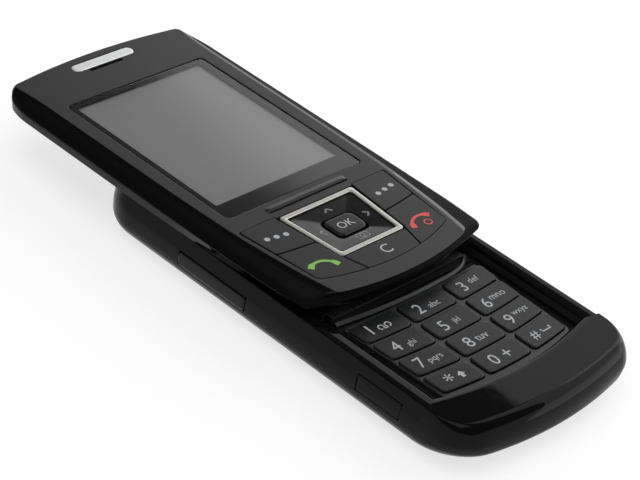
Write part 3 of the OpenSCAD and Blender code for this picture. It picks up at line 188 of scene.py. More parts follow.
# Acrylic light guide with a frosted film
frosted_acrylic = moulding("frosted_light_guide", "#dadad6", "#e6e6e2", (0.4, 0.5), 0.4, 0.001)


def display_panel():
    """Display module seen through its window: an unlit reflective panel, mid grey, with the faintest trace of its
    columns and a sheen that its film spreads wide."""
    column_pitch = 0.17
    material, tree, place = start("unlit_display_panel")
    bands = {"Scale": 1000 / column_pitch / 20, "wave_type": "BANDS", "bands_direction": "X", "Distortion": 0.0}
    lines = add(tree, "ShaderNodeTexWave", bands, {"Vector": place}).outputs["Fac"]
    colour = blend(tree, "#b3b3b3", "#b6b6b6", lines)
    shader = add(tree, "ShaderNodeBsdfPrincipled", {"Roughness": 0.3}, {"Base Color": colour})
    end(tree, shader.outputs["BSDF"])
    return material


def clear_window(name, tint):
    """A clear window of acrylic or glass. It lets the view through with a tint, and its face reflects by Fresnel."""
    material, tree, place = start(name)
    wear = add(tree, "ShaderNodeTexNoise", {"Scale": 40.0, "Detail": 1.0}, {"Vector": place}).outputs["Fac"]
    gloss = add(tree, "ShaderNodeMapRange", {"To Min": 0.09, "To Max": 0.12}, {"Value": wear})
    edge = add(tree, "ShaderNodeFresnel", {"IOR": 1.49}).outputs["Fac"]
    through = add(tree, "ShaderNodeBsdfTransparent", {"Color": linear(tint)})
    shine = add(tree, "ShaderNodeBsdfGlossy", {"Color": linear("#fafafa")}, {"Roughness": gloss.outputs["Result"]})
    both = add(tree, "ShaderNodeMixShader", links={0: edge, 1: through.outputs[0], 2: shine.outputs[0]})
    end(tree, both.outputs[0])
    return material


panel = display_panel()
window_acrylic = clear_window("hard_coated_acrylic", "#f4f4f5")
lens_glass = clear_window("camera_window_glass", "#8e90a0")


# ---------- curves and surfaces ----------
def unit(v):
    """Vectors along the last axis at length one."""
    return v / np.maximum(np.linalg.norm(v, axis=-1, keepdims=True), 1e-9)


def xy(x, y):
    """Points in the plane from their coordinates, either of which may be one number for all."""
    return np.stack(np.broadcast_arrays(x, y), -1)


def soft_path(controls, cuts, bend=6):
    """A run of controls with rounded corners. At each inner control the run is left a cut before the corner and met
    again a cut past it, along a circular arc written as a rational quadratic curve whose middle weight is the cosine
    of half the turn. A control whose cut is 0 stays a single point. A control may be a point or a whole ring."""
    c = np.asarray(controls, float)
    t = np.linspace(0, 1, bend + 1).reshape(-1, *[1] * (c.ndim - 1))
    rows = [c[:1]]
    for i in range(1, len(c) - 1):
        if cuts[i] == 0:
            rows.append(c[i:i + 1])
            continue
        back, ahead = c[i - 1] - c[i], c[i + 1] - c[i]
        reach = np.linalg.norm([back, ahead], axis=-1, keepdims=True).min(0)
        cut = np.minimum(cuts[i], 0.48 * reach)
        back, ahead = unit(back), unit(ahead)
        weight = np.sqrt(np.clip((1 - (back * ahead).sum(-1, keepdims=True)) / 2, 0, 1))
        a, b, m = (1 - t) ** 2, t ** 2, 2 * weight * t * (1 - t)
        rows.append((a * (c[i] + cut * back) + m * c[i] + b * (c[i] + cut * ahead)) / (a + m + b))
    rows.append(c[-1:])
    return np.concatenate(rows)


def soft_loop(controls, cuts, bend=6):
    """A closed outline with rounded corners, begun in the middle of the run that closes it."""
    c = np.asarray(controls, float)
    middle = (c[0] + c[-1])[None] / 2
    return soft_path(np.concatenate([middle, c, middle]), [0, *cuts, 0], bend)[:-1]


def mirrored(half):
    """The right half of an outline, run from the middle below to the middle above, completed on the left."""
    return np.concatenate([half, (half * [-1, 1])[-2:0:-1]])


def grow(outline, d):
    """A closed outline moved outwards by d along its normals, each from the run between its two neighbours."""
    along = unit(unit(np.roll(outline, -1, 0) - outline) + unit(outline - np.roll(outline, 1, 0)))
    return outline + d * xy(along[:, 1], -along[:, 0])


def lift(outline, z):
    """An outline in the plane set at height z."""
    return np.column_stack([outline, np.broadcast_to(z, len(outline))])


def skin(rows, closed=True, flip=False, tint=0):
    """The quads between neighbouring rows of points. Rows that run anticlockwise and climb face outwards."""
    m, n = rows.shape[:2]
    i, j = np.arange(m - 1)[:, None] * n, np.arange(n if closed else n - 1)[None]
    k = (j + 1) % n
    quads = np.stack([i + j, i + k, i + n + k, i + n + j], -1).reshape(-1, 4)
    return rows.reshape(-1, 3), quads[:, ::-1] if flip else quads, tint


def inside(points, outline):
    """True for points within a closed outline, by counting how often a ray along x crosses it."""
    x, y = points[:, 0, None], points[:, 1, None]
    (ax, ay), (bx, by) = outline.T, np.roll(outline, -1, 0).T
    over = (ay > y) != (by > y)
    reach = ax + (y - ay) * (bx - ax) / np.where(np.abs(by - ay) < 1e-12, 1e-12, by - ay)
    return (over & (x < reach)).sum(1) % 2 == 1


def faced(flat, faces, up=True):
    """Flat triangles, each turned over where it doesn't face up, or down when up is false."""
    a, b, c = flat[faces].transpose(1, 0, 2)
    turn = (b - a)[:, 0] * (c - a)[:, 1] - (b - a)[:, 1] * (c - a)[:, 0]
    return np.where(((turn > 0) != up)[:, None], faces[:, ::-1], faces)


def lid(outline, z, holes=(), lines=(), up=True, tint=0):
    """A face inside an outline and round its holes, by triangulation. Lines are further edges that it keeps."""
    loops = [outline, *holes]
    points = np.concatenate([*loops, *lines])
    edges, first = [], 0
    for k, loop in enumerate([*loops, *lines]):
        n = np.arange(first, first + len(loop))
        pairs = np.stack([n, np.roll(n, -1)], -1)
        edges.append(pairs if k < len(loops) else pairs[:-1])
        first += len(loop)
    out = delaunay_2d_cdt([Vector(p) for p in points], np.concatenate(edges).tolist(), [], 1, 1e-5)
    flat, faces = np.array([tuple(v) for v in out[0]]), np.array(out[2])
    for hole in holes:
        faces = faces[~inside(flat[faces].mean(1), hole)]
    faces = faced(flat, faces, up)
    return lift(flat, z), faces, tint


def kept(part, test):
    """The faces of a part whose middles pass a test on x, y and z."""
    points, faces, tint = part
    middle = points[faces].mean(1)
    return points, faces[test(*middle.T)], tint


def triangles(mesh):
    """The points of a mesh in its own units, and its faces as triangles."""
    points = np.empty(len(mesh.vertices) * 3)
    mesh.vertices.foreach_get("co", points)
    mesh.calc_loop_triangles()
    faces = np.empty(len(mesh.loop_triangles) * 3, np.int32)
    mesh.loop_triangles.foreach_get("vertices", faces)
    return points.reshape(-1, 3), faces.reshape(-1, 3)


def stand(name, data):
    """A new object, linked to the scene."""
    thing = bpy.data.objects.new(name, data)
    bpy.context.scene.collection.objects.link(thing)
    return thing


def build(name, parts, materials, body, stands_for=()):
    """Joins parts into one mesh in the row frame, welds their shared edges, shades it smooth up to a crease angle
    with normals weighted by area, and lets it ride on a body."""
    mesh = bpy.data.meshes.new(name)
    points, faces, tints, first = [], [], [], 0
    for p, f, tint in parts:
        points.append(p)
        faces += (np.asarray(f) + first).tolist()
        tints += [tint] * len(f)
        first += len(p)
    mesh.from_pydata(((np.concatenate(points) - [0, MID_Y, 0]) * MM).tolist(), [], faces)
    mesh.polygons.foreach_set("material_index", np.array(tints, np.int32))
    weld = bmesh.new()
    weld.from_mesh(mesh)
    bmesh.ops.remove_doubles(weld, verts=weld.verts, dist=3e-6)
    bmesh.ops.dissolve_degenerate(weld, edges=weld.edges, dist=1e-6)
    bmesh.ops.delete(weld, geom=[v for v in weld.verts if not v.link_faces], context="VERTS")
    weld.to_mesh(mesh)
    weld.free()
    mesh.shade_smooth()
    mesh.set_sharp_from_angle(angle=np.radians(CREASE))
    for material in materials:
        mesh.materials.append(material)
    piece = stand(name, mesh)
    normals = piece.modifiers.new("even_normals", "WEIGHTED_NORMAL")
    normals.keep_sharp = True
    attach(piece, body)
    if stands_for:
        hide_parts(*stands_for)


def upright(outline, z0, z1):
    """Two rows of points that an outline makes at two heights."""
    return np.stack([lift(outline, z0), lift(outline, z1)])


def rounded(outline, foot, top, rim, soft, bend):
    """Rows of points up an outline, then over a rounded edge of soft millimetres to a rim inside or round it."""
    return soft_path([lift(outline, foot), lift(outline, top), lift(rim, top)], [0, soft, 0], bend)


def cap(outline, bottom, top, soft):
    """A closed cap on an outline: a wall from bottom to top, its upper edge rounded over soft millimetres, and a flat
    crown."""
    rows = rounded(outline, bottom, top, grow(outline, -soft * 1.6), soft, 5)
    return [skin(rows), lid(rows[-1][:, :2], top), lid(rows[0][:, :2], bottom, up=False)]


def leftwards(path):
    """Unit vectors square to a path in the plane, to its left."""
    along = unit(np.gradient(path, axis=0))
    return xy(-along[:, 1], along[:, 0])


def stroke(path, width, z, tint=0):
    """A flat printed line: a path widened by half its width to each side."""
    path = np.asarray(path, float)
    side = leftwards(path) * np.reshape(width, (-1, 1)) / 2
    rows = np.stack([lift(path + side, z), lift(path - side, z)])
    return skin(rows, closed=False, flip=True, tint=tint)


def arc(centre, radius, a0, a1, n=16):
    """Points on an arc, with angles in degrees."""
    a = np.radians(np.linspace(a0, a1, n))
    return np.asarray(centre) + radius * xy(np.cos(a), np.sin(a))


def lettering(words, centre, height, z):
    """Generic digits and letters as a flat mesh, set by the middle of their own box."""
    curve = bpy.data.curves.new("legend", "FONT")
    curve.body = words
    curve.size = 10.0
    curve.resolution_u = 4
    temporary = stand("legend", curve)
    bpy.context.view_layer.update()
    mesh = bpy.data.meshes.new_from_object(temporary.evaluated_get(bpy.context.evaluated_depsgraph_get()))
    points, faces = triangles(mesh)
    bpy.data.objects.remove(temporary)
    bpy.data.curves.remove(curve)
    bpy.data.meshes.remove(mesh)
    flat = points[:, :2]
    low, high = flat.min(0), flat.max(0)
    flat = (flat - (low + high) / 2) * height / (high[1] - low[1])
    return lift(flat + centre, z), faced(flat, faces), 0


# ---------- keypad half: shells ----------
# Half width and upper end of the battery cover, and of the opening that it lies in
COVER_W, COVER_END = 18.8, 84.0
BAY_W, BAY_END = 18.92, 84.12
# Rows of points along the sides; the openings of the side keys and flaps begin and end on them
SIDE_LINES = np.array([12.0, 12.1, 16.38, 21, 27.12, 34, 41.88, 50.12, 55.38, 60, 66.38, 73.62, 79.62,
                       COVER_END, BAY_END])


def chin_in(z):
    """How far the chin end is drawn in at height z: a long elliptical sweep below and a round shoulder above."""
    if z < BASE_ROUND:
        return 14 * (1 - np.sqrt(1 - (1 - z / BASE_ROUND) ** 2))
    return 3.2 * (1 - np.sqrt(1 - min(1, (z - BASE_ROUND) / (RAIL_Z - BASE_ROUND)) ** 2))


def side_in(z):
    """How far the sides are drawn in at height z: a quarter round below and a slight draft above."""
    if z < BASE_ROUND:
        return BASE_ROUND * (1 - np.sqrt(1 - (1 - z / BASE_ROUND) ** 2))
    return 0.9 * (max(0, z - 5.5) / 4.3) ** 2


def rail_side(z):
    """Half width over the rails, whose outer faces lean in towards their rounded top edge."""
    edge = 0.3 * (1 - np.sqrt(1 - np.clip((z - 9.5) / 0.3, 0, 1) ** 2))
    return HALF_W - 1.35 * np.clip((z - 6.76) / 3.09, 0, 1) - edge


def base_ring(z):
    """The keypad half's plan outline at height z. The chin end is a shallow parabola, joined by round corners to the
    straight sides; beyond the top corners a shallow parabola closes it. Columns stand at fixed places, so that
    covers and pockets can be left out between them."""
    chin_bow, top_bow = 1.8, 0.8
    side, front = side_in(z), chin_in(z) - CHIN_OVER
    w, rb, top = HALF_W - side, max(10 - side, 2), BASE_LEN - side
    rf = max(10.2 - 2.4 * np.clip((z - 3) / 3, 0, 1) - side, 2)
    bow = w - 0.8585 * rf
    phi = np.arctan(2 * chin_bow / bow)
    bow = w - rf * (1 - np.sin(phi))
    cx, cy = bow - rf * np.sin(phi), front + chin_bow + rf * np.cos(phi)
    x = np.append(np.linspace(0, COVER_W, 19), BAY_W)
    y = np.where(x <= bow, front + chin_bow * (x / bow) ** 2, cy - np.sqrt(np.maximum(rf ** 2 - (x - cx) ** 2, 0)))
    a = np.linspace(np.arcsin(np.clip((BAY_W - cx) / rf, -1, 1)), np.pi / 2, 12)[1:]
    ys = SIDE_LINES + max(0, cy - 11.6) * np.clip((30 - SIDE_LINES) / 18, 0, 1)
    crown = w - 0.9 * rb
    tilt = np.arctan(2 * top_bow / crown)
    crown = w - rb * (1 - np.sin(tilt))
    b = np.linspace(0, np.pi / 2 - tilt, 12)
    t = np.linspace(1, 0, 9)[1:]
    half = np.concatenate([
        xy(x, y), xy(cx + rf * np.sin(a), cy - rf * np.cos(a)), xy(w, ys),
        xy(crown + rb * (np.cos(b) - np.sin(tilt)), top - top_bow + rb * (np.sin(b) - np.cos(tilt))),
        xy(crown * t, top - top_bow * t ** 2)])
    past = half[:, 1] > 12.05
    half[past, 0] = np.minimum(half[past, 0], rail_side(z))
    return lift(mirrored(half), z)


def well_ring(w, front, end, z):
    """The sunk area's edge, with one column for each column of the plan outline: a parabola across the chin, which
    ends where the closed runners need room, then the straight sides and the end."""
    runner_room = 12.8
    t = np.linspace(0, 1, 31)
    lines = np.interp(SIDE_LINES, [12, 16.38, BAY_END], [front + 3.0, 16.38, BAY_END])
    up = np.linspace(BAY_END, end, 8)[1:]
    over = np.linspace(w, w * 0.65, 6)[1:]
    last = w * 0.65 * np.linspace(1, 0, 9)[1:]
    half = np.concatenate([xy(w * t, np.minimum(front + 2.9 * t ** 2, runner_room)), xy(w, lines), xy(w, up),
                           xy(over, end), xy(last, end)])
    return lift(mirrored(half), z)


def clear_of(x, y, z):
    """True away from the openings of the side keys and the two flaps."""
    left, right = x < -22, x > 22
    port = left & (y > 16.38) & (y < 27.12) & (z > 4.38) & (z < 7.82)
    volume = left & (y > 55.38) & (y < 73.62) & (z > 3.79) & (z < 7.0)
    shutter = right & (y > 41.88) & (y < 50.12) & (z > 3.79) & (z < 7.0)
    card = right & (y > 66.38) & (y < 79.62) & (z > 3.79) & (z < 6.22)
    return ~(port | volume | shutter | card)


def base_shells():
    """The two shells of the keypad half and the battery cover, cut from one smooth form at the joint line and at the
    cover's edges, with real pockets at the side keys and flaps."""
    cover_top, bay_top = 0.9, 0.97
    low = [0, 0.012, 0.05, 0.11, 0.2, 0.32, 0.48, 0.68, cover_top, bay_top, 1.25, 1.6, 2.0, 2.4, 2.8, SEAM_Z - SEAM_GAP]
    rows = np.stack([base_ring(z) for z in low])
    under = skin(rows)
    flat = rows[0][:, :2]
    edges = []
    for w, end in ((COVER_W, COVER_END), (BAY_W, BAY_END)):
        first, last = flat[np.isclose(np.abs(flat[:, 0]), w) & (flat[:, 1] < MID_Y)]
        edges.append(np.array([first, [first[0], end], [last[0], end], last]))
    base = lid(flat, 0, lines=edges, up=False)
    curl = lift(grow(rows[-1][:, :2], -0.5), SEAM_Z - SEAM_GAP)
    rear = [kept(under, lambda x, y, z: (np.abs(x) > BAY_W) | (z > bay_top) | (y > COVER_END)),
            kept(base, lambda x, y, z: (np.abs(x) > BAY_W) | (y > BAY_END)),
            skin(np.stack([rows[-1], curl]))]
    build("rear_shell", rear, [gloss_abs], "keypad_half")
    cover = [kept(under, lambda x, y, z: (np.abs(x) < COVER_W) & (z < cover_top) & (y < COVER_END)),
             kept(base, lambda x, y, z: (np.abs(x) < COVER_W) & (y < COVER_END))]
    build("battery_cover_shell", cover, [gloss_abs], "battery_cover")
    high = [SEAM_Z + SEAM_GAP, 3.5, 3.79, 4.1, 4.38, 4.9, 5.5, 5.9, 6.22, 6.5, 6.76, 7.0, 7.4, 7.82, 8.2, 8.56, 8.9,
            9.2, 9.4, 9.5, 9.6, 9.68, 9.74, 9.78, RAIL_Z]
    rows = np.stack([base_ring(z) for z in high])
    curl = lift(grow(rows[0][:, :2], -0.5), SEAM_Z + SEAM_GAP)
    well = soft_path([rows[-1], well_ring(22.3, 9.4, 95.4, RAIL_Z), well_ring(20.8, 10.0, 95.0, 9.71),
                      well_ring(20.2, 10.6, 94.6, 7.95)], [0, 0.3, 0.25, 0], 5)
    front = [kept(skin(np.concatenate([curl[None], rows])), clear_of), skin(well)]
    build("front_shell", front, [gloss_abs], "keypad_half")


def liner(node, name, body, middle, shrink, material):
    """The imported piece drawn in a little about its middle, so that its pockets, slots and sockets show through the
    openings of the smooth shell that lies over it."""
    points, faces = triangles(frame["nodes"][node].data)
    points = points / MM + [0, MID_Y, 0]
    build(name, [((points - middle) * shrink + middle, faces, 0)], [material], body, (node,))


base_shells()
for node, name in (("rear_housing", "rear_inner_walls"), ("front_housing", "front_inner_walls")):
    liner(node, name, "keypad_half", [0, BASE_LEN / 2, 5.0], [0.988, 0.994, 0.94], matt_black)
liner("battery_cover", "battery_cover_inner", "battery_cover", [0, BASE_LEN / 2, 0.88], [0.973, 0.994, 0.7],
      inner_nylon)


# ---------- keypad ----------
KEYS_TOP, PITCH, KEY_H = 36.0, 6.1, 5.2
CAP_Z = 8.75  # crown of the keypad's caps
PLATE_EDGE = 7.75  # how far down the plate's rounded edges run


def sagged(points):
    """Rows of the keypad sag outwards: y rises with the square of x, a little more down the keypad."""
    x, y = points[:, 0], points[:, 1]
    return xy(x, y + (0.5 + (KEYS_TOP - y) * 0.042) * (x / 18) ** 2)


def key_outline(column, row):
    """A key cap's outline: two sagging rows and two straight sides, the outer ones drawn in down the keypad."""
    top = KEYS_TOP - row * PITCH
    low = top - KEY_H
    outer = [18 - 1.4 * (KEYS_TOP - y) / 23.5 for y in (low, top)]
    first, last = (-5.65, [5.65, 5.65]) if column == 0 else (6.7, outer)
    t = np.array([0, 0.25, 0.5, 0.75, 1])
    below = xy(first + (last[0] - first) * t, low)
    above = xy(last[1] + (first - last[1]) * t, top)
    p = np.concatenate([below, above])
    if column < 0:
        p = (p * [-1, 1])[::-1]
    return sagged(soft_loop(p, [0.8, 0, 0, 0, 0.8] * 2, 5))


def keypad():
    """Twelve caps with rounded edges, the plate round them with a rounded edge at each hole, and the printed legends
    that ride on their own caps."""
    z = CAP_Z + INK
    line, big, small = 0.28, 2.75, 1.45

    def loops(x, y):
        """Two small rings joined at their feet."""
        rings = [stroke(arc((x + d, y), 0.6, 0, 360, 22), line, z) for d in (-0.85, 0.85)]
        return rings + [stroke([(x - 0.9, y - 0.6), (x + 0.9, y - 0.6)], line, z)]

    def arrow(x, y):
        """A short arrow that points up the phone."""
        head = lid(np.array([(x - 0.9, y), (x + 0.9, y), (x, y + 1.0)]), z)
        return [head, stroke([(x, y - 0.8), (x, y + 0.05)], 0.8, z)]

    def space(x, y):
        """A flat bracket, the mark of the space key."""
        return [stroke([(x - 1.1, y + 0.5), (x - 1.1, y - 0.3)], line, z),
                stroke([(x - 1.2, y - 0.3), (x + 1.2, y - 0.3)], line, z),
                stroke([(x + 1.1, y - 0.3), (x + 1.1, y + 0.5)], line, z)]

    words = {
        "key_1": [("1", (-14.7, 34.0), big)],
        "key_2": [("2", (-2.4, 33.3), big), ("abc", (1.2, 32.9), small)],
        "key_3": [("3", (9.8, 33.4), big), ("def", (13.2, 33.9), small)],
        "key_4": [("4", (-14.2, 27.9), big), ("ghi", (-10.9, 27.0), 1.7)],
        "key_5": [("5", (-2.3, 27.1), big), ("jkl", (1.0, 26.9), 1.7)],
        "key_6": [("6", (9.7, 27.3), big), ("mno", (13.3, 27.8), 1.1)],
        "key_7": [("7", (-14.0, 22.1), big), ("pqrs", (-10.6, 21.2), 1.4)],
        "key_8": [("8", (-2.1, 21.1), big), ("tuv", (1.2, 20.9), 1.35)],
        "key_9": [("9", (9.6, 21.4), big), ("wxyz", (13.2, 21.9), 1.35)],
        "key_star": [("*", (-13.0, 16.2), 2.1)],
        "key_0": [("0", (-2.1, 15.0), big), ("+", (1.3, 15.0), 1.9)],
        "key_hash": [("#", (9.8, 15.3), 2.3)],
    }
    signs = {"key_1": loops(-11.4, 33.4), "key_star": arrow(-10.2, 15.5), "key_hash": space(13.0, 15.6)}
    holes = []
    for k, (node, legend) in enumerate(words.items()):
        outline = key_outline(k % 3 - 1, k // 3)
        prints = [lettering(*word, z) for word in legend] + signs.get(node, [])
        build(node + "_cap", cap(outline, 7.6, CAP_Z, 0.32), [cap_plastic], node, (node,))
        build(node + "_legend", prints, [pale_ink], node)
        holes.append(grow(outline, 0.2))
    t = np.linspace(0, 1, 9)
    front = xy(17.3 * t, 10.85 + 2.9 * (17.3 * t / 20.2) ** 2)
    top = xy(18.0 * (1 - t), 36.75 + 0.75 * (1 - t) ** 2)
    outline = mirrored(soft_path(np.concatenate([front, top]), [0] * 8 + [1.2, 1.6] + [0] * 8, 6))
    edge = rounded(outline, PLATE_EDGE, DECK_Z, grow(outline, -0.6), 0.25, 4)
    rims = [grow(hole, 0.16) for hole in holes]
    parts = [skin(edge), lid(edge[-1][:, :2], DECK_Z, rims)]
    parts += [skin(rounded(hole, PLATE_EDGE, DECK_Z, rim, 0.14, 3)[::-1]) for hole, rim in zip(holes, rims)]
    seat = np.array([(-18.5, 10.2), (18.5, 10.2), (18.5, 38.9), (-18.5, 38.9)])
    parts.append(lid(seat, 7.72, [grow(hole, 0.1) for hole in holes], tint=1))
    build("keypad_plate", parts, [plate_plastic, matt_black], "keypad_half", ("keypad_bezel",))


def deck_lip():
    """The raised lip across the deck above the keypad: a low round bar that follows the keypad's upper edge, levels
    off at its left end and turns up the phone at its right end."""
    controls = [(-18.4, 38.97), (-17.4, 38.95), (-10, 38.0), (0, 37.35), (12, 37.65), (15.6, 38.45), (18.2, 40.4)]
    path = soft_path(controls, [0, 1.0, 3.5, 4.0, 2.0, 1.5, 0], 8)
    side = leftwards(path)
    across = np.array([-0.5, -0.42, -0.2, 0.02, 0.2, 0.32, 0.36])
    height = np.array([8.1, 8.36, 8.56, 8.7, 8.7, 8.55, 8.1])
    rows = np.stack([lift(path + side * a, h) for a, h in zip(across, height)])
    build("deck_lip", [skin(rows, closed=False, flip=True)], [plate_plastic], "keypad_half")


keypad()
deck_lip()


# ---------- side keys and flaps ----------
def side_x(z):
    """Half width of the keypad half's side at height z, past the chin's corners."""
    return np.array([min(rail_side(v), HALF_W - side_in(v)) for v in np.ravel(z)]).reshape(np.shape(z))


def side_plate(side, y0, y1, z0, z1, corner, rise, soft, depth):
    """A plate set in a side wall: a rounded rectangle along y and z, whose rim is rounded over soft millimetres and
    whose face follows the wall's own curve, out by rise."""
    box = soft_loop([(y0, z0), (y1, z0), (y1, z1), (y0, z1)], [corner] * 4, 4)
    inner = grow(box, -soft)
    middle = box.mean(0)
    rings = [(box, -depth), (box, rise - soft)] + [
        (box + (inner - box) * (1 - np.cos(a)), rise - soft + soft * np.sin(a)) for a in np.radians([30, 60, 90])]
    rings += [(middle + (inner - middle) * s, rise) for s in (0.75, 0.4, 0.02)]
    rows = np.stack([np.column_stack([side * (side_x(r[:, 1]) + out), r]) for r, out in rings])
    points, faces, _ = lid(rows[0][:, 1:], 0)
    wall = np.column_stack([np.full(len(points), side * (HALF_W - depth - 0.2)), points[:, :2]])
    return [skin(rows, flip=side < 0), (wall, faces if side < 0 else faces[:, ::-1], 0)]


for name, node, place, material in (
        ("volume_rocker", "volume_key", (-1, 55.5, 73.5, 3.9, 6.9, 1.2, 0.3, 0.35, 1.0), key_abs),
        ("camera_button", "camera_key", (1, 42.0, 50.0, 3.9, 6.9, 1.2, 0.3, 0.35, 1.0), key_abs),
        ("connector_flap", "connector_cover", (-1, 16.5, 27.0, 4.5, 7.7, 0.5, 0.0, 0.12, 0.8), gloss_abs),
        ("card_flap", "card_cover", (1, 66.5, 79.5, 3.9, 6.1, 0.5, 0.0, 0.12, 0.8), gloss_abs)):
    build(name, side_plate(*place), [material], node, (node,))


# ---------- display half: shells ----------
def slider_ring(corner, side, w, front, end, low_cut, shoulder, top_cut, z):
    """One plan outline of the display half. The lower end is a parabola out to the corner, the side leads through
    its controls to the full half width, the shoulder draws it in towards the top corner, and a shallow parabola
    closes the top end."""
    t, u = np.linspace(0, 0.86, 12), np.linspace(0.7, 0, 8)
    top, crown = SLIDER_LEN + end, w - shoulder[0]
    controls = np.concatenate([
        xy(corner[0] * t, front + (corner[1] - front) * t ** 2), [corner], side,
        [(w, top - 1.8 - shoulder[1]), (crown, top - 1.8)], xy(crown * u, top - 1.8 * u ** 2)])
    cuts = [0] * 12 + [low_cut, 3.0, 5.0, 7.0, 4.0, top_cut] + [0] * 8
    half = soft_path(controls, cuts, 8) + [0, SLIDER_Y]
    return lift(mirrored(half), z)


def display_rings():
    """The display half's outlines from its underside over its widest line and its slopes up to its face's edge."""
    under = slider_ring((17.55, 3.2), [(21.35, 8.2), (23.55, 20), (24.3, 40)],
                        24.35, 0.8, 0.2, 1.4, (1.4, 4.6), 2.4, UNDER_Z)
    wide = slider_ring((24.25, 3.6), [(24.7, 12), (HALF_W, 25), (HALF_W, 42)],
                       HALF_W, 0, 0.5, 1.65, (1.7, 5.2), 2.4, 12.34)
    slope = slider_ring((22.9, 4.5), [(23.5, 12), (23.6, 25), (23.6, 42)],
                        23.6, 0.7, 0.6, 1.65, (0.75, 5), 1.6, 13.22)
    strip = slider_ring((18.7, 3.2), [(20.1, 11.7), (21.3, 24.7), (21.9, 41.7)],
                        22.2, 0.3, 0.65, 1.2, (-0.1, 6), 1.0, 13.74)
    face = slider_ring((17.2, 2.2), [(18.9, 11.7), (20.3, 24.7), (20.9, 41.7)],
                       21.2, -0.2, 0.7, 1.0, (-0.8, 7), 1.3, FACE_Z)
    return under, wide, slope, strip, face


def frame_x(y):
    """Half width of the silver frame at y."""
    return 8.4 + 1.35 * (y - 48.2) / 15.5


def field_x(y):
    """Half width of the key field at y."""
    return 17.2 + 2.2 * (y - 45.5) / 18.8


def field_edge(x):
    """The key field's lower edge at x."""
    return 42.3 + 3.2 * (x / 17.2) ** 2


def soft_line(x):
    """The line between the soft keys and the keys below them at x."""
    return 53.8 + 1.3 * (x / 17.2) ** 2


def frame_outline(d, cut=0.7):
    """The silver frame's outline, drawn in by d."""
    a, b = 48.2 + d, 63.7 - d
    xa, xb = frame_x(a) - d, frame_x(b) - d
    t = np.linspace(-1, 1, 5)
    below, above = xy(xa * t, a), xy(-xb * t, b)
    return soft_loop(np.concatenate([below, above]), [cut, 0, 0, 0, cut] * 2, 5)


def rectangle(x, y0, y1, cut):
    """A rounded rectangle about the phone's middle line."""
    return soft_loop([(-x, y0), (x, y0), (x, y1), (-x, y1)], [cut] * 4, 6)


def pill(w, h, y):
    """A bar with round ends, on the middle line at y."""
    r, c = h / 2, (w - h) / 2
    return np.concatenate([arc((c, y), r, -90, 90, 18), arc((-c, y), r, 90, 270, 18)])


def field_outline(gap):
    """Opening of the key field with the silver frame: a bowed lower edge, round lower corners, and a notch above."""
    t = np.linspace(0, 1, 9)
    low = xy(17.2 * t, field_edge(17.2 * t))
    half = soft_path(np.concatenate([low, [(19.4, 64.3), (10.4, 64.3), (10.2, 63.8), (0, 63.8)]]),
                     [0] * 8 + [1.7, 0.5, 0.25, 0.2, 0], 6)
    return grow(mirrored(half), gap)


GRILLE_Y = 125.35
GRILLE_OUT = pill(16, 2.7, GRILLE_Y)
SOUND_SLOT = soft_loop([(-5, 122.95), (3.6, 122.95), (3.6, 123.72), (-5, 123.72)], [0.25] * 4, 4)
# The groove under the finger ridge: its matt black floor is painted shade, a dark sheet standing in for the shadow
# under the ridge's lip
RIDGE_GROOVE = soft_loop([(-9.9, 65.6), (10.9, 65.65), (10.9, 66.1), (-9.9, 66.05)], [0.2] * 4, 4)
WINDOW_OUT = rectangle(18.0, 68.6, 115.3, 1.2)


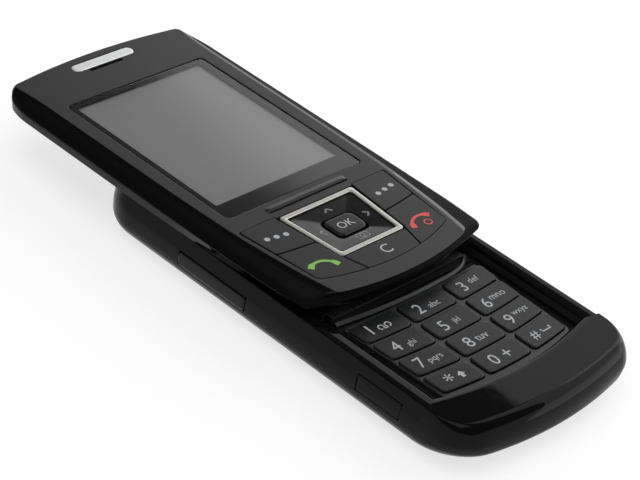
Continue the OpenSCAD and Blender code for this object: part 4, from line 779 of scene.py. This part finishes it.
def display_shells():
    """The front cover, black on its slopes and satin on its face, with soft-edged openings for the window, the key
    field and the earpiece, and the rear shell with the slide plate's recess and the camera's seat."""
    under, wide, slope, strip, face = display_rings()
    inner = lift(grow(face[:, :2], -0.6), FACE_Z)
    tucked = lift(grow(under[:, :2], -0.8), UNDER_Z)
    rows = soft_path([tucked, under, wide, slope, strip, face, inner], [0, 0.25, 0.6, 0.6, 0.25, 0.2, 0], 8)
    # Middle rows of the rounded corners at the widest line, at the strip and at the face; each corner has nine rows
    seam, bevel, ledge = (1 + 9 * corner + 4 for corner in (1, 3, 4))

    def curled(gap):
        """The joint line's row moved up by a gap, and the row that curls inwards from it."""
        rim = rows[seam] + [0, 0, gap]
        return rim, np.column_stack([grow(rim[:, :2], -0.5), rim[:, 2]])

    # Each opening of the face, how far its edge is rounded, and its floor; the window's floor is a ledge
    window_floor = 13.35
    openings = [(field_outline(0.12), 0.18, 12.6), (WINDOW_OUT, 0.22, window_floor), (GRILLE_OUT, 0.15, 13.3),
                (SOUND_SLOT, 0.08, 13.2), (RIDGE_GROOVE, 0.05, 13.75)]
    rim, curl = curled(SEAM_GAP)
    parts = [skin(np.concatenate([curl[None], rim[None], rows[seam + 1:bevel + 1]]), tint=3),
             skin(rows[bevel:ledge + 1]), skin(rows[ledge:], tint=1),
             lid(rows[-1][:, :2], FACE_Z, [grow(hole, soft * 1.2) for hole, soft, _ in openings], tint=1)]
    for hole, soft, depth in openings:
        parts.append(skin(rounded(hole, depth, FACE_Z, grow(hole, soft * 1.2), soft, 4)[::-1], tint=1))
    # Matt black floors for the openings; the floor of the groove under the finger ridge is painted shade
    parts += [lid(hole, depth, tint=2) for hole, _, depth in openings if hole is not WINDOW_OUT]
    ledge_hole = rectangle(16.7, 73.2, 114.7, 0.3)
    parts.append(lid(WINDOW_OUT, window_floor, [ledge_hole], tint=2))
    parts.append(skin(upright(ledge_hole, window_floor, 12.4), tint=2))
    build("display_front_cover", parts, [gloss_abs, satin_paint, matt_black, satin_abs], "display_half",
          ("slider_front_cover",))
    rim, curl = curled(-SEAM_GAP)
    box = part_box("slide_plate")
    low, high = np.array(box) / MM + [0, MID_Y, 0]
    recess, recess_z = rectangle(high[0] + 0.1, low[1] - 0.1, high[1] + 0.1, 0.2), 10.42
    seat = arc((12.5, 121.1), 2.65, 0, 360, 49)[:-1]
    parts = [skin(np.concatenate([rows[:seam], rim[None], curl[None]])),
             lid(rows[0][:, :2], UNDER_Z, [recess, seat], up=False),
             skin(upright(recess, UNDER_Z, recess_z), flip=True), lid(recess, recess_z, up=False),
             skin(upright(seat, UNDER_Z, 11.6), flip=True)]
    build("display_rear_shell", parts, [gloss_abs], "display_half", ("slider_rear_housing",))


def finger_ridge():
    """A low ridge across the face below the window, over a narrow groove: along y it rises steeply from the groove to
    a crest and falls gently towards the window, and it fades out at both ends."""
    u, v = np.meshgrid(np.linspace(-1, 1, 49), np.linspace(0, 1, 17))
    fade = np.sqrt(np.clip(1 - np.abs(u) ** 8, 0, 1))
    bump = np.where(v < 0.2, np.sin(v / 0.2 * np.pi / 2), np.cos((v - 0.2) / 0.8 * np.pi / 2) ** 1.2)
    rows = np.stack([0.5 + 10.6 * u, 66.12 + 0.02 * u + 1.5 * v, FACE_Z - 0.01 + 0.3 * fade * bump], -1)
    build("finger_ridge", [skin(rows, closed=False)], [satin_paint], "display_half")


display_shells()
finger_ridge()


# ---------- display window, frame and earpiece ----------
def window_parts():
    """The clear window with a rounded rim, the printed border under it, and the earpiece bar in its opening."""
    outline, top = grow(WINDOW_OUT, -0.12), 13.95
    rows = rounded(outline, 13.4, top, grow(outline, -0.5), 0.15, 3)
    build("window_pane", [skin(rows), lid(rows[-1][:, :2], top)], [window_acrylic], "display_half",
          ("display_window",))
    border = lid(grow(WINDOW_OUT, -0.2), 13.6, [rectangle(16.2, 73.7, 114.2, 0.2)])
    build("window_border_print", [border], [border_ink], "display_half")
    bar = cap(pill(15.8, 2.5, GRILLE_Y), 13.4, 14.12, 0.35)
    build("earpiece_bar", bar, [satin_chrome], "display_half", ("earpiece_grille",))


def silver_frame():
    """The plated frame round the four-way pad, with softly rounded outer and inner edges."""
    out, inn = frame_outline(0.0), frame_outline(1.05, 0.5)
    middle = (frame_outline(0.35) + frame_outline(0.72, 0.6)) / 2
    foot, edge, crest = 13.3, 14.15, 14.17
    rows = soft_path([lift(out, foot), lift(out, edge), lift(middle, crest), lift(inn, edge), lift(inn, foot)],
                     [0, 0.16, 0, 0.16, 0], 4)
    build("silver_surround", [skin(rows)], [satin_nickel], "display_half", ("nav_frame",))


OK_Y = 55.55


def pad_height(p):
    """Height of the four-way pad: it falls from its rim towards the middle key in four flat slopes, so that creases
    run along its diagonals."""
    x = np.abs(p[:, 0]) / frame_x(p[:, 1])
    y = np.abs(p[:, 1] - 55.95) / 7.75
    return 13.55 + 0.36 * np.clip((np.maximum(x, y) - 0.4) / 0.46, 0, 1)


def four_way_pad():
    """The pad with its four slopes, and its printed arrows and camera mark, which follow the slopes."""
    a = np.linspace(0, 2 * np.pi, 96, endpoint=False)

    def ray(outline):
        """The outline's points at even angles round the pad's middle."""
        p = outline - [0, OK_Y]
        angle = np.arctan2(p[:, 1], p[:, 0]) % (2 * np.pi)
        order = np.argsort(angle)
        return np.stack([np.interp(a, angle[order], q, period=2 * np.pi) for q in p[order].T], -1) + [0, OK_Y]

    far, near = ray(frame_outline(1.2, 0.45)), ray(rectangle(4.0, OK_Y - 3.0, OK_Y + 3.0, 1.6))
    rings = [near + (far - near) * s for s in (0, 0.06, 0.25, 0.5, 0.75, 0.94, 1)]
    rows = [lift(r, pad_height(r)) for r in rings]
    rows[0] = lift(near, 12.9)
    rows[1] = lift(rings[1], pad_height(rings[1]) - 0.03)
    rows[-1] = lift(far, 13.2)
    build("four_way_pad", [skin(np.stack(rows[::-1]))], [pad_plastic], "nav_key", ("nav_key",))
    marks = []
    for mark in ([(-0.5, 60.3), (0.4, 61.2), (1.3, 60.3)], [(-5.2, 56.7), (-6.1, 55.9), (-5.2, 55.1)],
                 [(5.7, 56.7), (6.6, 55.9), (5.7, 55.1)]):
        marks.append(stroke(soft_path(mark, [0, 0.1, 0], 2), 0.36, 0, tint=1))
    for line in (rectangle(1.35, 50.35, 51.95, 0.35), arc((0, 51.15), 0.5, 0, 360, 20)[:-1]):
        marks.append(stroke(np.concatenate([line, line[:1]]) + [0.2, 0], 0.24, 0, tint=1))
    prints = [(lift(points[:, :2], pad_height(points) + 2 * INK), faces, tint) for points, faces, tint in marks]
    build("four_way_pad_marks", prints, [pale_ink, dim_ink], "nav_key")
    outline, top = rectangle(3.65, OK_Y - 2.65, OK_Y + 2.65, 1.5), 13.95
    build("middle_key_cap", cap(outline, 12.6, top, 0.45), [pad_plastic], "ok_key", ("ok_key",))
    build("middle_key_legend", [lettering("OK", (0, OK_Y), 1.9, top + INK)], [pale_ink], "ok_key")


window_parts()
silver_frame()
four_way_pad()


# ---------- soft keys, call keys and clear key ----------
def upper_keys():
    """The five keys round the silver frame, each to its own outline with a fine rounded edge, and their prints."""
    top = 14.15
    g, z = 0.175, top + INK
    t = np.linspace(0, 1, 7)
    outer = field_x(55.3) - g
    xs = outer + (9.4 - outer) * t
    soft_low = xy(xs, soft_line(xs) + g)[::-1]
    right_soft = soft_loop(np.concatenate([soft_low, [(19.4 - g, 64.3), (10.4, 64.3)]]),
                           [0.25, 0, 0, 0, 0, 0, 0.3, 0.8, 0.3], 4)
    low = 7.0 + g + (17.2 - 7.0 - g) * t
    edge = xy(low, field_edge(low))
    xs = outer + (frame_x(54.3) + 0.35 - outer) * t
    under = xy(xs, soft_line(xs) - g)
    right_call = soft_loop(np.concatenate([edge, under, [(8.75, 48.6), (8.3 + g, 48.0)]]),
                           [0.2, 0, 0, 0, 0, 0, 1.7, 0.3, 0, 0, 0, 0, 0, 0.3, 0.15, 0.15], 5)
    xs = np.linspace(-7.0 + g, 7.0 - g, 9)
    clear = soft_loop(np.concatenate([xy(xs, field_edge(xs)), [(8.3 - g, 47.85), (-8.3 + g, 47.85)]]),
                      [0.2, 0, 0, 0, 0, 0, 0, 0, 0.2, 0.2, 0.2], 4)
    right_dots, left_dots = ([lid(arc(p, 0.58, 0, 360, 25)[:-1], z) for p in row] for row in (
        ((12.5, 59.0), (14.6, 59.35), (16.7, 59.7)), ((-16.4, 59.8), (-14.3, 59.45), (-12.2, 59.1))))

    def handset(x, y, turn):
        """A telephone receiver: an arc that thickens to its two ends."""
        s = np.linspace(-1, 1, 25)
        path = xy(s * 2.9, 1.15 - 1.35 * s ** 2)
        path[:, 1] -= 0.55 * (np.abs(s) > 0.8) * (np.abs(s) - 0.8) * 4
        width = 0.62 + 0.62 / (1 + np.exp(-(np.abs(s) - 0.7) * 28))
        c, k = np.cos(np.radians(turn)), np.sin(np.radians(turn))
        return stroke(path @ [[c, k], [-k, c]] + [x, y], width, z, tint=1)

    hang_up = [handset(12.6, 48.2, 16), stroke(arc((13.6, 46.9), 0.8, 0, 360, 22), 0.26, z, tint=2)]
    pick_up = [handset(-13.2, 48.2, -18)]
    for name, node, outline, prints, inks in (
            ("right_soft", "right_soft_key", right_soft, right_dots, [pale_ink]),
            ("left_soft", "left_soft_key", (right_soft * [-1, 1])[::-1], left_dots, [pale_ink]),
            ("end_call", "end_key", right_call, hang_up, [pale_ink, red_ink, red_ink]),
            ("answer_call", "send_key", (right_call * [-1, 1])[::-1], pick_up, [pale_ink, green_ink]),
            ("clear", "clear_key", clear, [lettering("C", (0.3, 45.3), 2.5, z)], [pale_ink])):
        build(name + "_cap", cap(outline, 13.0, top, 0.16), [key_paint], node, (node,))
        build(name + "_print", prints, inks, node)


upper_keys()


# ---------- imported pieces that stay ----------
for finish, nodes in (
        (battery_film, ["battery"]), (hard_gold, ["battery_contacts", "antenna"]),
        (board_resist, ["main_board", "upper_board"]),
        (inner_nylon, ["side_switches", "loudspeaker", "earpiece_speaker", "camera_module"]),
        (rolled_steel, ["sim_holder", "card_socket", "connector_socket", "microphone", "vibration_motor",
                        "vibration_weight", "housing_screws", "slider_screws", "slide_springs", "slide_plate",
                        "slide_base_plate"]),
        (polyimide, ["flex_cable"]), (acetal, ["slide_runners"]), (switch_film, ["dome_sheet", "upper_dome_sheet"]),
        (panel, ["lcd_module"]), (frosted_acrylic, ["backlight"]), (lens_glass, ["camera_window"])):
    for node in nodes:
        materials = frame["nodes"][node].data.materials
        materials.clear()
        materials.append(finish)


# ---------- stage ----------
def seen_rays(tree):
    """One for rays of the camera and for those that a mirror or a glass sends on, nought for all others."""
    ray = add(tree, "ShaderNodeLightPath").outputs
    either = add(tree, "ShaderNodeMath", {"operation": "ADD"}, {0: ray["Is Camera Ray"], 1: ray["Is Glossy Ray"]})
    return add(tree, "ShaderNodeMath", {"operation": "ADD", "use_clamp": True},
               {0: either.outputs[0], 1: ray["Is Transmission Ray"]}).outputs[0]


def floor():
    """A plain white floor. The camera, mirrors and glass see it as a bright sheet on which the shadow still shows,
    and its own light on the object stays low."""
    material, tree, place = start("white_paper_floor")
    tooth = add(tree, "ShaderNodeTexNoise", {"Scale": 900.0}, {"Vector": place}).outputs["Fac"]
    matt = add(tree, "ShaderNodeBsdfDiffuse", links={"Color": blend(tree, "#a2a2a2", "#a6a6a6", tooth)})
    level = add(tree, "ShaderNodeMath", {"operation": "MULTIPLY", 1: 0.72}, {0: seen_rays(tree)})
    glow = add(tree, "ShaderNodeEmission", {"Color": (1, 1, 1, 1)}, {"Strength": level.outputs[0]})
    both = add(tree, "ShaderNodeAddShader", links={0: matt.outputs[0], 1: glow.outputs[0]})
    end(tree, both.outputs[0])
    mesh = bpy.data.meshes.new("floor")
    mesh.from_pydata([(-3, -3, 0), (3, -3, 0), (3, 3, 0), (-3, 3, 0)], [], [(0, 1, 2, 3)])
    mesh.materials.append(material)
    sheet = stand("floor", mesh)


def aim(name, data, axes, origin):
    """A lamp or a camera that stands at an origin, with its own three axes given as vectors."""
    thing = stand(name, data)
    thing.matrix_world = Matrix([[*row, p] for row, p in zip(np.stack(axes, -1), origin)] + [[0, 0, 0, 1]])
    return thing


def lamp(name, edge, along, width, power):
    """A soft box that faces the phone. One long edge has its middle at edge and runs as the vector along, and the box
    reaches width away from it, outwards and down."""
    edge, length = np.asarray(edge, float), np.linalg.norm(along)
    along = np.asarray(along, float) / length
    across = unit(np.cross(along, edge))
    data = bpy.data.lights.new(name, "AREA")
    data.shape, data.size, data.size_y, data.energy = "RECTANGLE", length, width, power
    aim(name, data, [along, -across, np.cross(across, along)], edge + across * width / 2)


def world():
    """For the camera, mirrors and glass, a white backdrop that ends in a dark ceiling some 20 degrees up; for
    everything else, an even low light."""
    sky = bpy.data.worlds.new("studio")
    sky.use_nodes = True
    tree = sky.node_tree
    tree.nodes.clear()
    seen = seen_rays(tree)
    way = add(tree, "ShaderNodeSeparateXYZ", links={"Vector": add(tree, "ShaderNodeTexCoord").outputs["Generated"]})
    sheet = add(tree, "ShaderNodeMapRange", {"From Min": 0.3, "From Max": 0.42, "To Min": 1.0, "To Max": 0.1},
                {"Value": way.outputs["Z"]})
    level = add(tree, "ShaderNodeMapRange", {"To Min": 0.35}, {"Value": seen, "To Max": sheet.outputs["Result"]})
    light = add(tree, "ShaderNodeBackground", {"Color": (1, 1, 1, 1)}, {"Strength": level.outputs["Result"]})
    add(tree, "ShaderNodeOutputWorld", links={"Surface": light.outputs[0]})
    bpy.context.scene.world = sky


def camera():
    """The camera solved from the photograph: its bearing, height and roll in degrees, its focal length, and its
    distance in metres from the point that it looks at."""
    az, el, roll = np.radians([-50.271, 34.010, 9.461])
    target, distance, focal = np.array([-0.0012014, -0.004, 0.008]), 0.434452, 129.375
    back = np.array([np.sin(az) * np.cos(el), -np.cos(az) * np.cos(el), np.sin(el)])
    right = unit(np.cross(-back, [0, 0, 1]))
    up = np.cross(right, -back)
    x = np.cos(roll) * right + np.sin(roll) * up
    y = -np.sin(roll) * right + np.cos(roll) * up
    data = bpy.data.cameras.new("camera")
    data.lens, data.sensor_width, data.clip_start = focal, 36.0, 0.01
    bpy.context.scene.camera = aim("camera", data, [x, y, back], target + back * distance)


floor()
world()
camera()
lamp("right_box", (0.506, 0.421, 0.45), (0.15, 0.89, 0), 0.6, 2.2)
lamp("front_box", (0.43, -0.32, 0.525), (0, 0.9, 0.99), 0.6, 3.4)
lamp("top_box", (-0.45, -0.1, 0.75), (0, 0.9, 0), 0.7, 2.6)
bpy.context.scene.view_settings.view_transform = "Standard"
